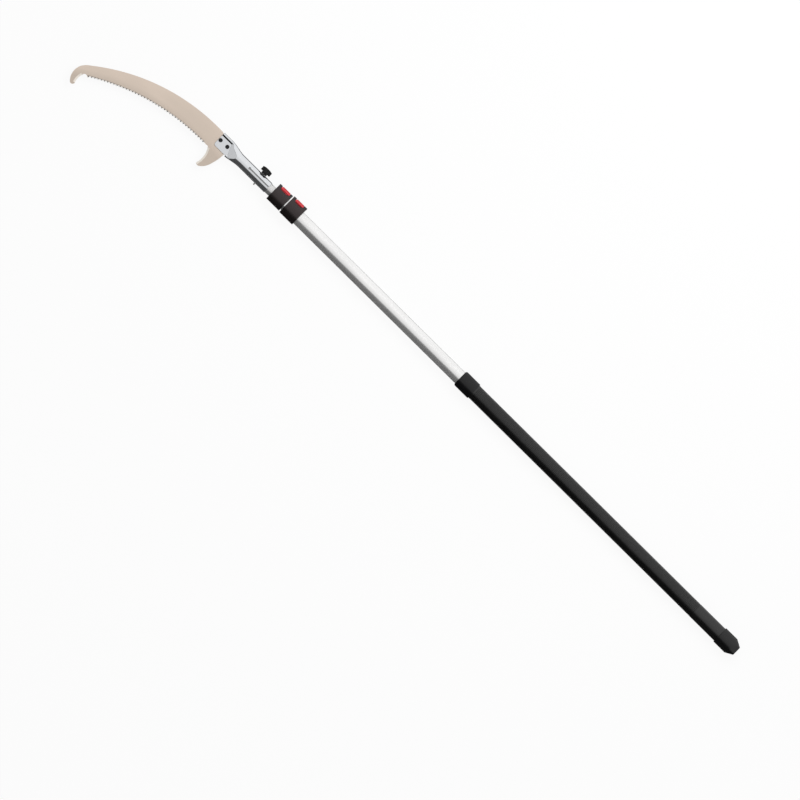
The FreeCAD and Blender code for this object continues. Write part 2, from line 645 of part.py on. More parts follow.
def ear_outline(sketch, clamp):
    """A lug with a round top about the pivot, standing on the floor of the recess."""
    x, y, r = value(clamp.pivot_x), value(clamp.pivot_y), value("ear_radius")
    foot = value(clamp.floor_y) + 1
    left, right = Vector(x - r, y, 0), Vector(x + r, y, 0)
    ring = Part.Circle(Vector(x, y, 0), Vector(0, 0, 1), r)
    arc = sketch.addGeometry(Part.ArcOfCircle(ring, math.pi, 2 * math.pi), False)
    down = sketch.addGeometry(Part.LineSegment(right, Vector(x + r, foot, 0)), False)
    base = sketch.addGeometry(Part.LineSegment(Vector(x + r, foot, 0), Vector(x - r, foot, 0)), False)
    up = sketch.addGeometry(Part.LineSegment(Vector(x - r, foot, 0), left), False)
    constrain(sketch, "Tangent", arc, 2, down, 1)
    constrain(sketch, "Tangent", up, 2, arc, 1)
    constrain(sketch, "Coincident", down, 2, base, 1)
    constrain(sketch, "Coincident", base, 2, up, 1)
    constrain(sketch, "Horizontal", base)
    constrain(sketch, "Vertical", down)
    constrain(sketch, "Vertical", up)
    constrain(sketch, "Radius", arc, number=r, expression="ear_radius")
    hold(sketch, arc, 3, clamp.pivot_x, clamp.pivot_y)
    constrain(sketch, "DistanceY", base, 1, -1, 1, number=-foot, expression=f"-({clamp.floor_y} + 1)")


def make_bush(clamp):
    """Split plastic bush between collar and sliding tube; the cam squeezes it shut."""
    body = new_body(f"{clamp.side}_bush", f"{clamp.station} + collar_socket + seat_gap * 2")
    section = new_sketch(body, "section", "YZ_Plane")
    oval(section, clamp.fixed)
    oval(section, f"({clamp.sliding} + running_gap)")
    length = f"{clamp.length} - collar_lip - collar_socket - seat_gap * 4"
    feature(body, "Pad", "wall", section, length)
    slit = new_sketch(body, "slit", "XY_Plane")
    rectangle(slit, "-1", f"{clamp.length}", f"{clamp.bush_nose} / 2", f"{clamp.bush_nose} + 1")
    feature(body, "Pocket", "slit_pocket", slit, "bush_slit", midplane=True)


def lever_profile(sketch, clamp):
    """Side of the lever: rounded free end, straight top, round end about the pivot, straight underside."""
    x0 = value(f"{clamp.recess_start} + lever_end_gap")
    px, py = value(clamp.pivot_x), value(clamp.pivot_y)
    big, small = value("pivot_depth"), value("lever_corner")
    top, under = value(f"-{clamp.back}"), value(f"lever_height - {clamp.back}")
    turn = math.asin((under - py) / big)
    end = Vector(px + big * math.cos(turn), under, 0)
    foot = sketch.addGeometry(Part.LineSegment(Vector(x0, under, 0), end), False)
    ring = Part.Circle(Vector(px, py, 0), Vector(0, 0, 1), big)
    heel = sketch.addGeometry(Part.ArcOfCircle(ring, -math.pi / 2, turn), False)
    roof = sketch.addGeometry(Part.LineSegment(Vector(px, top, 0), Vector(x0 + small, top, 0)), False)
    corner_ring = Part.Circle(Vector(x0 + small, top + small, 0), Vector(0, 0, 1), small)
    corner = sketch.addGeometry(Part.ArcOfCircle(corner_ring, math.pi, math.pi * 1.5), False)
    front = sketch.addGeometry(Part.LineSegment(Vector(x0, top + small, 0), Vector(x0, under, 0)), False)
    constrain(sketch, "Coincident", foot, 2, heel, 2)
    constrain(sketch, "Tangent", heel, 1, roof, 1)
    constrain(sketch, "Tangent", roof, 2, corner, 2)
    constrain(sketch, "Tangent", corner, 1, front, 1)
    constrain(sketch, "Coincident", front, 2, foot, 1)
    constrain(sketch, "Horizontal", foot)
    constrain(sketch, "Horizontal", roof)
    constrain(sketch, "Vertical", front)
    constrain(sketch, "Radius", heel, number=big, expression="pivot_depth")
    constrain(sketch, "Radius", corner, number=small, expression="lever_corner")
    hold(sketch, heel, 3, clamp.pivot_x, clamp.pivot_y)
    hold(sketch, foot, 1, f"{clamp.recess_start} + lever_end_gap", f"lever_height - {clamp.back}")


def make_lever(clamp):
    """Flip lever, flush with the collar: hollowed underneath for the lugs, with a cam on its middle web."""
    body = new_body(f"{clamp.side}_lever", clamp.station)
    side = new_sketch(body, "side", "XY_Plane")
    lever_profile(side, clamp)
    feature(body, "Pad", "block", side, f"{clamp.height}", midplane=True)

    flush = new_sketch(body, "flush", "YZ_Plane")
    margin = f"({clamp.height} * 2)"
    rectangle(flush, f"-{margin}", margin, f"-{margin}", margin)
    clamp.outline(flush)
    feature(body, "Pocket", "flush_pocket", flush, through=True, reverse=True)

    face = f"{clamp.height} / 2 - skirt_depth"
    for name, low, high in (
        ("upper_skirt", face, clamp.height),
        ("under_skirt", f"-{clamp.height}", f"-({face})"),
    ):
        skirt = new_sketch(body, name, "YZ_Plane")
        rectangle(skirt, f"lever_height - skirt_height - {clamp.back}", "0", low, high)
        feature(body, "Pocket", f"{name}_pocket", skirt, through=True, reverse=True)
    toe = new_sketch(body, "toe_skirt", "XY_Plane")
    front = f"{clamp.recess_start} + lever_end_gap + skirt_depth"
    rectangle(toe, "0", front, f"lever_height - skirt_height - {clamp.back}", "0")
    feature(body, "Pocket", "toe_skirt_pocket", toe, f"{clamp.height} * 2", midplane=True)

    inner_side, outer_side = "(web_half)", "lever_hollow"
    for name, low, high in (
        ("upper_hollow", inner_side, outer_side),
        ("under_hollow", f"-{outer_side}", f"-{inner_side}"),
    ):
        hollow = new_sketch(body, name, "YZ_Plane", f"{clamp.recess_start} + lever_end_gap + hollow_end")
        rectangle(hollow, f"lever_roof - {clamp.back}", "0", low, high)
        feature(body, "Pocket", f"{name}_pocket", hollow, through=True, reverse=True)

    cam = new_sketch(body, "cam", "XY_Plane")
    cam_profile(cam, clamp)
    feature(body, "Pad", "cam_pad", cam, "web_half * 2", midplane=True)
    pin = new_sketch(body, "pin_hole", "XY_Plane")
    circle(pin, clamp.pivot_x, clamp.pivot_y, "lever_pin_radius + pin_gap")
    feature(body, "Pocket", "pin_pocket", pin, "lever_hollow * 2", midplane=True)
    driver = new_sketch(body, "driver_hole", "XY_Plane")
    circle(driver, clamp.pivot_x, clamp.pivot_y, "lever_pin_radius + driver_gap")
    feature(body, "Pocket", "driver_pocket", driver, clamp.height)


def cam_profile(sketch, clamp):
    """A finger from the pivot to the bush, with a round nose."""
    x, y, r = value(clamp.pivot_x), value(clamp.pivot_y), value("cam_radius")
    nose = y + value(clamp.cam_reach) - r
    ring = Part.Circle(Vector(x, nose, 0), Vector(0, 0, 1), r)
    tip = sketch.addGeometry(Part.ArcOfCircle(ring, 0, math.pi), False)
    left = sketch.addGeometry(Part.LineSegment(Vector(x - r, nose, 0), Vector(x - r, y, 0)), False)
    root = sketch.addGeometry(Part.LineSegment(Vector(x - r, y, 0), Vector(x + r, y, 0)), False)
    right = sketch.addGeometry(Part.LineSegment(Vector(x + r, y, 0), Vector(x + r, nose, 0)), False)
    constrain(sketch, "Tangent", tip, 2, left, 1)
    constrain(sketch, "Coincident", left, 2, root, 1)
    constrain(sketch, "Coincident", root, 2, right, 1)
    constrain(sketch, "Tangent", right, 2, tip, 1)
    constrain(sketch, "Horizontal", root)
    constrain(sketch, "Vertical", left)
    constrain(sketch, "Vertical", right)
    constrain(sketch, "Radius", tip, number=r, expression="cam_radius")
    hold(sketch, tip, 3, clamp.pivot_x, f"{clamp.pivot_y} + {clamp.cam_reach} - cam_radius")
    constrain(
        sketch, "DistanceY", root, 1, -1, 1, number=-value(clamp.pivot_y), expression=f"-({clamp.pivot_y})"
    )


def make_lever_pin(clamp):
    """Steel pin across the lugs, hidden inside the lever."""
    body = new_body(f"{clamp.side}_lever_pin", clamp.station)
    section = new_sketch(body, "section", "XY_Plane")
    circle(section, clamp.pivot_x, clamp.pivot_y, "lever_pin_radius")
    length = "(web_half + web_gap + ear_thickness + web_gap) * 2"
    feature(body, "Pad", "shank", section, length, midplane=True)


def make_rivets(clamp):
    """Two rivets through the hidden side of the collar and the wall of its tube."""
    body = new_body(f"{clamp.side}_collar_rivets", clamp.station)
    heads = new_sketch(body, "heads", "XY_Plane", f"-{clamp.height} / 2")
    rivet_circles(heads, "rivet_head_radius", "collar_socket / 2")
    feature(body, "Pad", "heads_pad", heads, "rivet_head_height")
    shanks = new_sketch(body, "shanks", "XY_Plane", f"-{clamp.height} / 2")
    rivet_circles(shanks, "rivet_radius", "collar_socket / 2")
    inside = f"(inner_height / 2 + {clamp.fixed} - tube_wall - rivet_sag)"
    feature(body, "Pad", "shanks_pad", shanks, f"{clamp.height} / 2 - {inside}")


# ---------------------------------------------------------------- saw head


FLARE_STEPS = 8
BOLT_STATIONS = ("(head_length - bolt_edge - bolt_spacing)", "(head_length - bolt_edge)")


def smooth(t):
    """A ramp from 0 to 1 with flat ends."""
    t = min(max(t, 0.0), 1.0)
    return t * t * (3 - 2 * t)


def oval_wire(x, back, front, half_height, nose):
    """A four-arc oval across the pole at one station, from -back to +front."""
    centre = (front - back) / 2
    half_width = (front + back) / 2
    across = half_width - nose
    side = (across**2 + half_height**2 - nose**2) / (2 * (half_height - nose))
    turn = math.atan2(side - half_height, across)
    dy, dz = nose * math.cos(turn), nose * math.sin(turn)

    def at(y, z):
        return Vector(x, centre + y, z)

    return Part.Wire(
        [
            Part.Arc(at(across + dy, -dz), at(half_width, 0), at(across + dy, dz)).toShape(),
            Part.Arc(at(across + dy, dz), at(0, half_height), at(-across - dy, dz)).toShape(),
            Part.Arc(at(-across - dy, dz), at(-half_width, 0), at(-across - dy, -dz)).toShape(),
            Part.Arc(at(-across - dy, -dz), at(0, -half_height), at(across + dy, -dz)).toShape(),
        ]
    )


def from_blade_end(name):
    """A station of the head that is measured back from its blade end."""
    return value(f"head_length - {name}")


def head_tube(inset):
    """The head's tube form, oval at first and flattened towards the blade, moved inwards by an inset."""
    half_width, half_height, nose, _ = oval_numbers(value("head_fit + head_wall"))
    start, end = from_blade_end("flare_start"), from_blade_end("flare_end")
    back_start, back_end = from_blade_end("back_rise_start"), from_blade_end("back_rise_end")

    def section(x):
        widened = smooth((x - start) / (end - start))
        risen = smooth((x - back_start) / (back_end - back_start))
        flattened = widened ** value("flatten_delay")
        return oval_wire(
            x,
            half_width + (value("head_back") - half_width) * risen - inset,
            half_width + (value("head_belly") - half_width) * widened - inset,
            half_height + (value("roll_height") - half_height) * flattened - inset,
            nose + (value("roll_radius") - nose) * widened - inset,
        )

    wires = [section(start + (end - start) * i / FLARE_STEPS) for i in range(FLARE_STEPS + 1)]
    flare = Part.makeLoft(wires, True, False)
    socket = Part.Face(section(-inset)).extrude(Vector(start + inset, 0, 0))
    flat = Part.Face(section(end)).extrude(Vector(value("head_length") - end + inset, 0, 0))
    return socket.fuse([flare, flat])


def arc_about(centre, first, last, radius):
    """An arc about a centre from one direction to another, the short way round."""
    middle = (first + last).normalize()
    return Part.Arc(centre + first * radius, centre + middle * radius, centre + last * radius).toShape()


def fold_edges(side, inset):
    """The pressed wall seen along the pole: up from the flat cheek, round the fold and over one roll."""
    roll_radius, fold_radius = value("roll_radius"), value("fold_radius")
    edge = value("head_belly") if side > 0 else value("head_back")
    roll = Vector(0, side * (edge - roll_radius), 0)
    reach = roll_radius + fold_radius
    lift = value("blade_thickness / 2 + blade_gap + head_wall") + fold_radius
    away = Vector(0, -side * math.sqrt(reach**2 - lift**2), lift).normalize()
    up = Vector(0, 0, 1)
    fold = arc_about(roll + away * reach, up * -1, away * -1, fold_radius + inset)
    return [fold, arc_about(roll, away, up, roll_radius - inset)]


def between_rolls(inset, start, end, open_front):
    """The space over the cheeks from one station to another, bounded by the back roll and the belly's."""
    tall = value("inner_width")
    back = fold_edges(-1, inset)
    foot, rise = back[0].Vertexes[0].Point, back[1].Vertexes[1].Point
    if open_front:
        front = []
        front_foot = front_rise = Vector(0, value("head_length"), foot.z)
    else:
        front = fold_edges(1, inset)
        front_foot, front_rise = front[0].Vertexes[0].Point, front[1].Vertexes[1].Point
    ground = [Vector(0, foot.y, 0), Vector(0, front_foot.y, 0)]
    sky = [Vector(0, rise.y, tall), Vector(0, front_rise.y, tall)]
    corners = [foot, ground[0], ground[1], front_foot]
    edges = back + front + [Part.makeLine(a, b) for a, b in zip(corners, corners[1:])]
    corners = [rise, sky[0], sky[1], front_rise]
    edges += [Part.makeLine(a, b) for a, b in zip(corners, corners[1:])]
    profile = Part.Wire(Part.sortEdges(edges)[0])
    profile.translate(Vector(start, 0, 0))
    return Part.Face(profile).extrude(Vector(end - start, 0, 0))


def press_die(inset):
    """The block that presses one face: flat over the cheeks, sloping up to the oval tube."""
    gap = value("blade_thickness / 2 + blade_gap + head_wall") - inset
    half = value("facet_half")
    back_foot = Vector(from_blade_end("facet_back"), -half, 0)
    front_foot = Vector(from_blade_end("facet_front"), half, 0)
    along = (front_foot - back_foot).normalize()
    rise_way = Vector(-along.y, along.x, 0)
    crown = oval_numbers(value("head_fit + head_wall"))[1] - inset
    run = (Vector(from_blade_end("facet_apex"), 0, 0) - back_foot).dot(rise_way)
    slope = (crown - gap) / run
    far, tall = value("head_length"), value("inner_width")
    # the slope starts a little later on the inner face, so that the wall stays even
    shift = inset * (math.sqrt(1 + slope**2) - 1) / slope
    foot = back_foot - rise_way * shift
    profile = Part.makePolygon(
        [
            foot + rise_way * -far + Vector(0, 0, gap),
            foot + Vector(0, 0, gap),
            foot + rise_way * (tall / slope) + Vector(0, 0, gap + tall),
            foot + rise_way * -far + Vector(0, 0, gap + tall),
            foot + rise_way * -far + Vector(0, 0, gap),
        ]
    )
    block = Part.Face(profile).extrude(along * (2 * far))
    block.translate(along * -far)
    belly_end = from_blade_end("belly_end")
    pressed = between_rolls(inset, 0, belly_end, False)
    return block.common(pressed.fuse(between_rolls(inset, belly_end, 2 * far, True)))


def corner_cut():
    """What rounds off the free corner of the cheeks."""
    radius = value("cheek_corner")
    corner = Vector(value("head_length"), value("cheek_edge"), -radius)
    box = Part.makeBox(2 * radius, 2 * radius, 2 * radius, corner - Vector(radius, radius, 0))
    rod = Part.makeCylinder(radius, 2 * radius, corner - Vector(radius, radius, 0))
    return box.cut(rod)


def both_faces(shape):
    """A cutting block and its mirror image below the blade's plane."""
    return [shape, shape.mirror(Vector(0, 0, 0), Vector(0, 0, 1))]


def make_blade_head():
    """Socket, clamp slit and blade cheeks, all pressed from one steel tube."""
    big = value("head_length") * 2
    belly = Part.makeBox(big, big, big, Vector(from_blade_end("belly_end"), value("cheek_edge"), -big / 2))
    outer = head_tube(0).cut(both_faces(press_die(0)) + [belly, corner_cut()])
    inner = head_tube(value("head_wall")).cut(both_faces(press_die(value("head_wall"))))
    slit_corner = Vector(-1, -value("slit_offset + slit_width / 2"), -big / 2)
    slit = Part.makeBox(value("slit_length") + 1, value("slit_width"), big, slit_corner)
    slit_end = Part.makeCylinder(
        value("slit_hole_radius"), big, Vector(value("slit_length"), -value("slit_offset"), -big / 2)
    )
    screw_start = Vector(value("clamp_station"), -big / 2, 0)
    screw = Part.makeCylinder(value("screw_radius + screw_play"), big, screw_start, Vector(0, 1, 0))
    part = doc.addObject("Part::Feature", "blade_head_shape")
    part.Shape = outer.cut([inner, slit, slit_end, screw] + bolt_holes(big)).removeSplitter()
    register(part, "blade_head", AT_HEAD)


def bolt_holes(length):
    """Rods at both bolts, with the bolts' play, across the blade's plane."""
    starts = [Vector(value(station), -value("bolt_offset"), -length / 2) for station in BOLT_STATIONS]
    return [Part.makeCylinder(value("bolt_radius + pin_gap"), length, start) for start in starts]


# ---------------------------------------------------------------- clamp screw and knob


def make_clamp_screw():
    """Stud across the head, its chamfered tip showing on the teeth side."""
    body = new_body("clamp_screw", f"{AT_HEAD} + clamp_station")
    start = "(screw_in_knob + inner_width / 2 + head_fit + head_wall + hub_gap)"
    profile = new_sketch(body, "profile", "XY_Plane")
    polygon(
        profile,
        [
            ("0", f"-{start}"),
            ("screw_radius", f"-{start}"),
            ("screw_radius", "screw_tip - screw_chamfer"),
            ("screw_radius - screw_chamfer", "screw_tip"),
            ("0", "screw_tip"),
        ],
    )
    spin = body.newObject("PartDesign::Revolution", "clamp_screw_spin")
    spin.Profile = profile
    spin.ReferenceAxis = (profile, ["V_Axis"])
    spin.Angle = 360
    doc.recompute()


def make_clamp_nut():
    """Threaded insert seated in the teeth-side nose of the inner tube."""
    seat = doc.addObject("Part::Feature", "clamp_nut_seat")
    wire = oval_wire(
        -value("nut_radius * 2"),
        *[value("inner_width / 2 - tube_wall - seat_gap")] * 2,
        value("inner_height / 2 - tube_wall - seat_gap"),
        value("inner_nose - tube_wall - seat_gap"),
    )
    seat.Shape = Part.Face(wire).extrude(Vector(value("nut_radius * 4"), 0, 0))
    barrel = doc.addObject("Part::Cylinder", "clamp_nut_barrel")
    barrel.setExpression("Radius", bound("nut_radius"))
    barrel.setExpression("Height", bound("nut_length * 2"))
    barrel.Placement = Placement(Vector(0, 0, 0), Rotation(Vector(1, 0, 0), -90))
    barrel.setExpression("Placement.Base.y", bound("inner_width / 2 - tube_wall - nut_length"))
    body = doc.addObject("Part::Common", "clamp_nut_body")
    body.Base = barrel
    body.Tool = seat
    bore = doc.addObject("Part::Cylinder", "clamp_nut_bore")
    bore.setExpression("Radius", bound("screw_radius + pin_gap"))
    bore.setExpression("Height", bound("inner_width * 2"))
    bore.Placement = Placement(Vector(0, 0, 0), Rotation(Vector(1, 0, 0), -90))
    bore.setExpression("Placement.Base.y", bound("-inner_width"))
    nut = doc.addObject("Part::Cut", "clamp_nut_cut")
    nut.Base = body
    nut.Tool = bore
    register(nut, "clamp_nut", f"{AT_HEAD} + clamp_station")


def make_clamp_knob():
    """Lobed knob with a round hub and a domed top."""
    body = new_body("clamp_knob", f"{AT_HEAD} + clamp_station")
    foot = "(inner_width / 2 + head_fit + head_wall + hub_gap)"
    hub = new_sketch(body, "hub", "XZ_Plane", foot)
    circle(hub, "0", "0", "hub_radius")
    feature(body, "Pad", "hub_pad", hub, "hub_length")
    disc = new_sketch(body, "disc", "XZ_Plane", f"{foot} + hub_length")
    circle(disc, "0", "0", "knob_radius")
    feature(body, "Pad", "disc_pad", disc, "knob_height")

    dome = new_sketch(body, "dome", "XY_Plane")
    top = f"-({foot} + hub_length + knob_height)"
    rim = "knob_radius + 1"
    x, y, low = value(rim), value(top), value(f"{top} + knob_dome")
    middle_x = x * 0.55
    middle_y = y + (low - y) * (middle_x / x) ** 2.6
    peak, edge = Vector(0, y, 0), Vector(x, low, 0)
    arc = Part.Arc(peak, Vector(middle_x, middle_y, 0), edge)
    curve = dome.addGeometry(arc, False)
    side = dome.addGeometry(Part.LineSegment(edge, Vector(x, y - 1, 0)), False)
    over = dome.addGeometry(Part.LineSegment(Vector(x, y - 1, 0), Vector(0, y - 1, 0)), False)
    back = dome.addGeometry(Part.LineSegment(Vector(0, y - 1, 0), peak), False)
    ends = (1, 2) if (dome.Geometry[curve].StartPoint - peak).Length < 1e-6 else (2, 1)
    constrain(dome, "Coincident", curve, ends[1], side, 1)
    constrain(dome, "Coincident", side, 2, over, 1)
    constrain(dome, "Coincident", over, 2, back, 1)
    constrain(dome, "Coincident", back, 2, curve, ends[0])
    hold(dome, side, 1, rim, f"{top} + knob_dome")
    hold(dome, over, 1, rim, f"{top} - 1")
    hold(dome, back, 1, "0", f"{top} - 1")
    hold(dome, back, 2, "0", top)
    constrain(dome, "Radius", curve, number=dome.Geometry[curve].Radius)
    turned = body.newObject("PartDesign::Groove", "clamp_knob_dome_groove")
    turned.Profile = dome
    turned.ReferenceAxis = (dome, ["V_Axis"])
    turned.Angle = 360
    doc.recompute()

    scallop = new_sketch(body, "scallop", "XZ_Plane", f"{foot} + hub_length")
    circle(scallop, "knob_radius + knob_scallop_radius - knob_scallop_depth", "0", "knob_scallop_radius")
    hollow = feature(body, "Pocket", "scallop_pocket", scallop, "knob_height", reverse=True)
    ring = body.newObject("PartDesign::PolarPattern", "clamp_knob_lobes")
    ring.Originals = [hollow]
    ring.Axis = (scallop, ["N_Axis"])
    ring.Angle = 360
    ring.setExpression("Occurrences", bound("knob_lobes"))
    body.Tip = ring
    doc.recompute()

    bore = new_sketch(body, "bore", "XZ_Plane", foot)
    circle(bore, "0", "0", "screw_radius + pin_gap")
    feature(body, "Pocket", "bore_pocket", bore, "screw_in_knob + pin_gap * 2", reverse=True)


# ---------------------------------------------------------------- bolts and nuts

CHEEK_HALF = "(blade_thickness / 2 + blade_gap + head_wall)"


def make_blade_bolts():
    """Two round-headed bolts with a cross recess, side by side."""
    body = new_body("blade_bolts", AT_HEAD)
    heads = new_sketch(body, "heads", "XY_Plane", CHEEK_HALF)
    for x in BOLT_STATIONS:
        circle(heads, x, "-bolt_offset", "bolt_head_radius")
    feature(body, "Pad", "heads_pad", heads, "bolt_head_height")
    top = value(f"{CHEEK_HALF} + bolt_head_height")
    rims = [
        f"Edge{i}"
        for i, edge in enumerate(body.Shape.Edges, start=1)
        if abs(edge.BoundBox.ZMin - top) < 1e-4 and abs(edge.BoundBox.ZMax - top) < 1e-4
    ]
    round_rim(body, "rims", rims, "bolt_head_round")
    shanks = new_sketch(body, "shanks", "XY_Plane", f"{CHEEK_HALF} + bolt_head_height / 4")
    for x in BOLT_STATIONS:
        circle(shanks, x, "-bolt_offset", "bolt_radius")
    length = f"{CHEEK_HALF} * 2 + bolt_head_height / 4 + nut_height + bolt_end"
    feature(body, "Pad", "shanks_pad", shanks, length, reverse=True)
    for name, half_x, half_y in (
        ("cross_along", "cross_length / 2", "cross_width / 2"),
        ("cross_over", "cross_width / 2", "cross_length / 2"),
    ):
        cross = new_sketch(body, name, "XY_Plane", f"{CHEEK_HALF} + bolt_head_height")
        for x in BOLT_STATIONS:
            low, high = f"-bolt_offset - {half_y}", f"{half_y} - bolt_offset"
            rectangle(cross, f"{x} - {half_x}", f"{x} + {half_x}", low, high)
        feature(body, "Pocket", f"{name}_pocket", cross, "cross_depth")


def make_blade_nuts():
    """Two hexagon nuts against the hidden cheek."""
    body = new_body("blade_nuts", AT_HEAD)
    section = new_sketch(body, "section", "XY_Plane", f"-{CHEEK_HALF}")
    for x in BOLT_STATIONS:
        corners = []
        for i in range(6):
            turn = math.radians(60 * i + 30)
            reach = f"(nut_flats / {math.sqrt(3):.9f})"
            corners.append(
                (f"{x} + {reach} * {math.cos(turn):.9f}", f"{reach} * {math.sin(turn):.9f} - bolt_offset")
            )
        polygon(section, corners)
        circle(section, x, "-bolt_offset", "bolt_radius + seat_gap")
    feature(body, "Pad", "hexagons", section, "nut_height", reverse=True)


# ---------------------------------------------------------------- blade


def bow(start, end, radius, bulge):
    """An arc of a given radius between two points, bulging left (+1) or right (-1) of the way along."""
    chord = end - start
    middle = (start + end) / 2
    left = Vector(-chord.y, chord.x, 0).normalize()
    rise = radius - math.sqrt(radius**2 - (chord.Length / 2) ** 2)
    return Part.Arc(start, middle + left * rise * bulge, end).toShape()


def tooth_point(along, depth):
    """A point on the toothed edge, by its distance along the tip arc and its depth behind it."""
    radius = value("tooth_arc_radius")
    turn = along / radius
    reach = radius + depth
    centre_y = value("tooth_arc_apex + tooth_arc_radius")
    return Vector(
        value("head_length + tooth_arc_beyond") + reach * math.sin(turn),
        centre_y - reach * math.cos(turn),
        0,
    )


def hook_points():
    """Key points of the pruning hook, placed from the throat along and behind the toothed arc."""
    end = value("first_tooth + tooth_pitch * tooth_count + hook_gap")
    origin = tooth_point(end, 0)
    turn = end / value("tooth_arc_radius")
    along = Vector(math.cos(turn), math.sin(turn), 0)
    behind = Vector(math.sin(turn), -math.cos(turn), 0)

    def at(forward, back):
        return origin + along * value(forward) + behind * value(back)

    return {
        "shoulder": at("-hook_shoulder_before", "hook_shoulder_behind"),
        "crown": at("hook_crown_past", "hook_crown_behind"),
        "ball_outer": at("ball_outer_past", "-ball_outer_beyond"),
        "ball_inner": at("ball_inner_past", "-ball_inner_beyond"),
        "throat_edge": at("hook_throat_past", "hook_throat_behind"),
        "throat_teeth": at("-hook_throat_before", "hook_throat_rise"),
    }


def heel_points():
    """Key points of the heel hook, placed from the first tooth."""
    heel = tooth_point(value("first_tooth"), 0)

    def at(before, beyond):
        return heel + Vector(-value(before), value(beyond), 0)

    return {
        "throat_teeth": at("sickle_throat_before", "-sickle_throat_behind"),
        "throat_edge": at("sickle_root_before", "-sickle_root_behind"),
        "tip": at("sickle_tip_before", "sickle_reach"),
        "blunt": at("sickle_tip_before + sickle_tip_width", "sickle_reach + sickle_tip_fall"),
        "shoulder": at("sickle_shoulder_before", "sickle_reach * sickle_shoulder_share"),
        "root": at("sickle_heel_before", "-sickle_heel_behind"),
    }


def blade_outline():
    """The blade's edge: back, hook, teeth, heel hook and the tang hidden between the cheeks."""
    hook = hook_points()
    heel = heel_points()
    pitch, depth, first = value("tooth_pitch"), value("tooth_depth"), value("first_tooth")
    root = heel["root"]
    tang_y = -value("blade_back - tang_inset")
    chamfer = value("tang_chamfer")
    tang = Vector(root.x, tang_y + chamfer, 0)
    tang_top = Vector(root.x + chamfer, tang_y, 0)
    back_start = Vector(value("head_length - tang_end"), tang_y, 0)
    back_full = Vector(value("head_length - tang_end + tang_slope"), -value("blade_back"), 0)
    edges = [
        Part.makeLine(tang_top, back_start),
        Part.makeLine(back_start, back_full),
        bow(back_full, hook["shoulder"], value("back_radius"), -1),
        bow(hook["shoulder"], hook["crown"], value("hook_crown_radius"), -1),
        bow(hook["crown"], hook["ball_outer"], value("hook_outer_radius"), -1),
        bow(hook["ball_outer"], hook["ball_inner"], value("ball_radius"), -1),
        bow(hook["ball_inner"], hook["throat_edge"], value("hook_inner_radius"), 1),
        bow(hook["throat_edge"], hook["throat_teeth"], value("hook_throat_radius"), 1),
    ]
    points = [hook["throat_teeth"]]
    for number in range(int(value("tooth_count")) - 1, -1, -1):
        start = first + pitch * number
        points += [tooth_point(start + pitch / 2, 0), tooth_point(start, depth)]
    points.append(heel["throat_teeth"])
    edges += [Part.makeLine(a, b) for a, b in zip(points, points[1:])]
    edges += [
        bow(heel["throat_teeth"], heel["throat_edge"], value("sickle_throat_radius"), 1),
        bow(heel["throat_edge"], heel["tip"], value("sickle_edge_radius"), 1),
        bow(heel["tip"], heel["blunt"], value("sickle_tip_radius"), -1),
        bow(heel["blunt"], heel["shoulder"], value("sickle_bend_radius"), -1),
        bow(heel["shoulder"], root, value("sickle_back_radius"), -1),
        Part.makeLine(root, tang),
        Part.makeLine(tang, tang_top),
    ]
    return Part.Wire(Part.sortEdges(edges)[0])


def tooth_grinding():
    """Wedges that grind both flanks of each tooth, on the upper and the lower face in turn."""
    pitch, depth, first = value("tooth_pitch"), value("tooth_depth"), value("first_tooth")
    wedges = []
    for number in range(int(value("tooth_count"))):
        face = 1 if number % 2 else -1
        middle = first + pitch * (number + 0.5)
        tip, base = tooth_point(middle, 0), tooth_point(middle, depth)
        for side in (-1, 1):
            root = tooth_point(middle + side * pitch / 2, depth)
            wedges.append(flank_wedge(tip, root, base, face))
    return wedges


def flank_wedge(tip, root, base, face):
    """What grinding takes off one flank of a tooth: nothing at the tip, most where it ends past the root."""
    half = value("blade_thickness") / 2
    near = Vector(0, 0, half * face)
    far = Vector(0, 0, (value("tooth_land") - half) * face)
    over = near * 2
    end = root + (root - tip).normalize() * value("tooth_runout")
    inner = end + (base - root).normalize() * value("tooth_bevel")
    outlines = [
        [tip + over, inner + over, end + over],
        [tip + over, tip + near, end + far, end + over],
        [inner + over, inner + near, end + far, end + over],
        [tip + near, inner + near, end + far],
        [tip + over, tip + near, inner + near, inner + over],
    ]
    faces = [Part.Face(Part.makePolygon(outline + outline[:1])) for outline in outlines]
    return Part.Solid(Part.Shell(faces))


def hook_grinding(centre, radius, start, end):
    """The ground face inside a hook: a wedge swept about the centre of its cutting edge."""
    half = value("blade_thickness") / 2
    wide, land = value("hook_bevel"), value("hook_land")
    inside = wide / 2
    fall = (value("blade_thickness") - land) / wide
    profile = [
        Vector(radius + wide, 0, half),
        Vector(radius - inside, 0, half - fall * (wide + inside)),
        Vector(radius - inside, 0, half * 3),
        Vector(radius + wide, 0, half * 3),
    ]
    wedge = Part.Face(Part.makePolygon(profile + profile[:1]))
    first, last = (math.degrees(math.atan2(p.y - centre.y, p.x - centre.x)) for p in (start, end))
    sweep = (last - first) % 360
    if sweep > 180:
        first, sweep = last, 360 - sweep
    wedge.rotate(Vector(0, 0, 0), Vector(0, 0, 1), first)
    ring = wedge.revolve(Vector(0, 0, 0), Vector(0, 0, 1), sweep)
    ring.translate(centre)
    return ring


def bow_centre(start, end, radius, bulge):
    """The centre of the arc that bow draws."""
    chord = end - start
    left = Vector(-chord.y, chord.x, 0).normalize()
    return (start + end) / 2 - left * (math.sqrt(radius**2 - (chord.Length / 2) ** 2) * bulge)


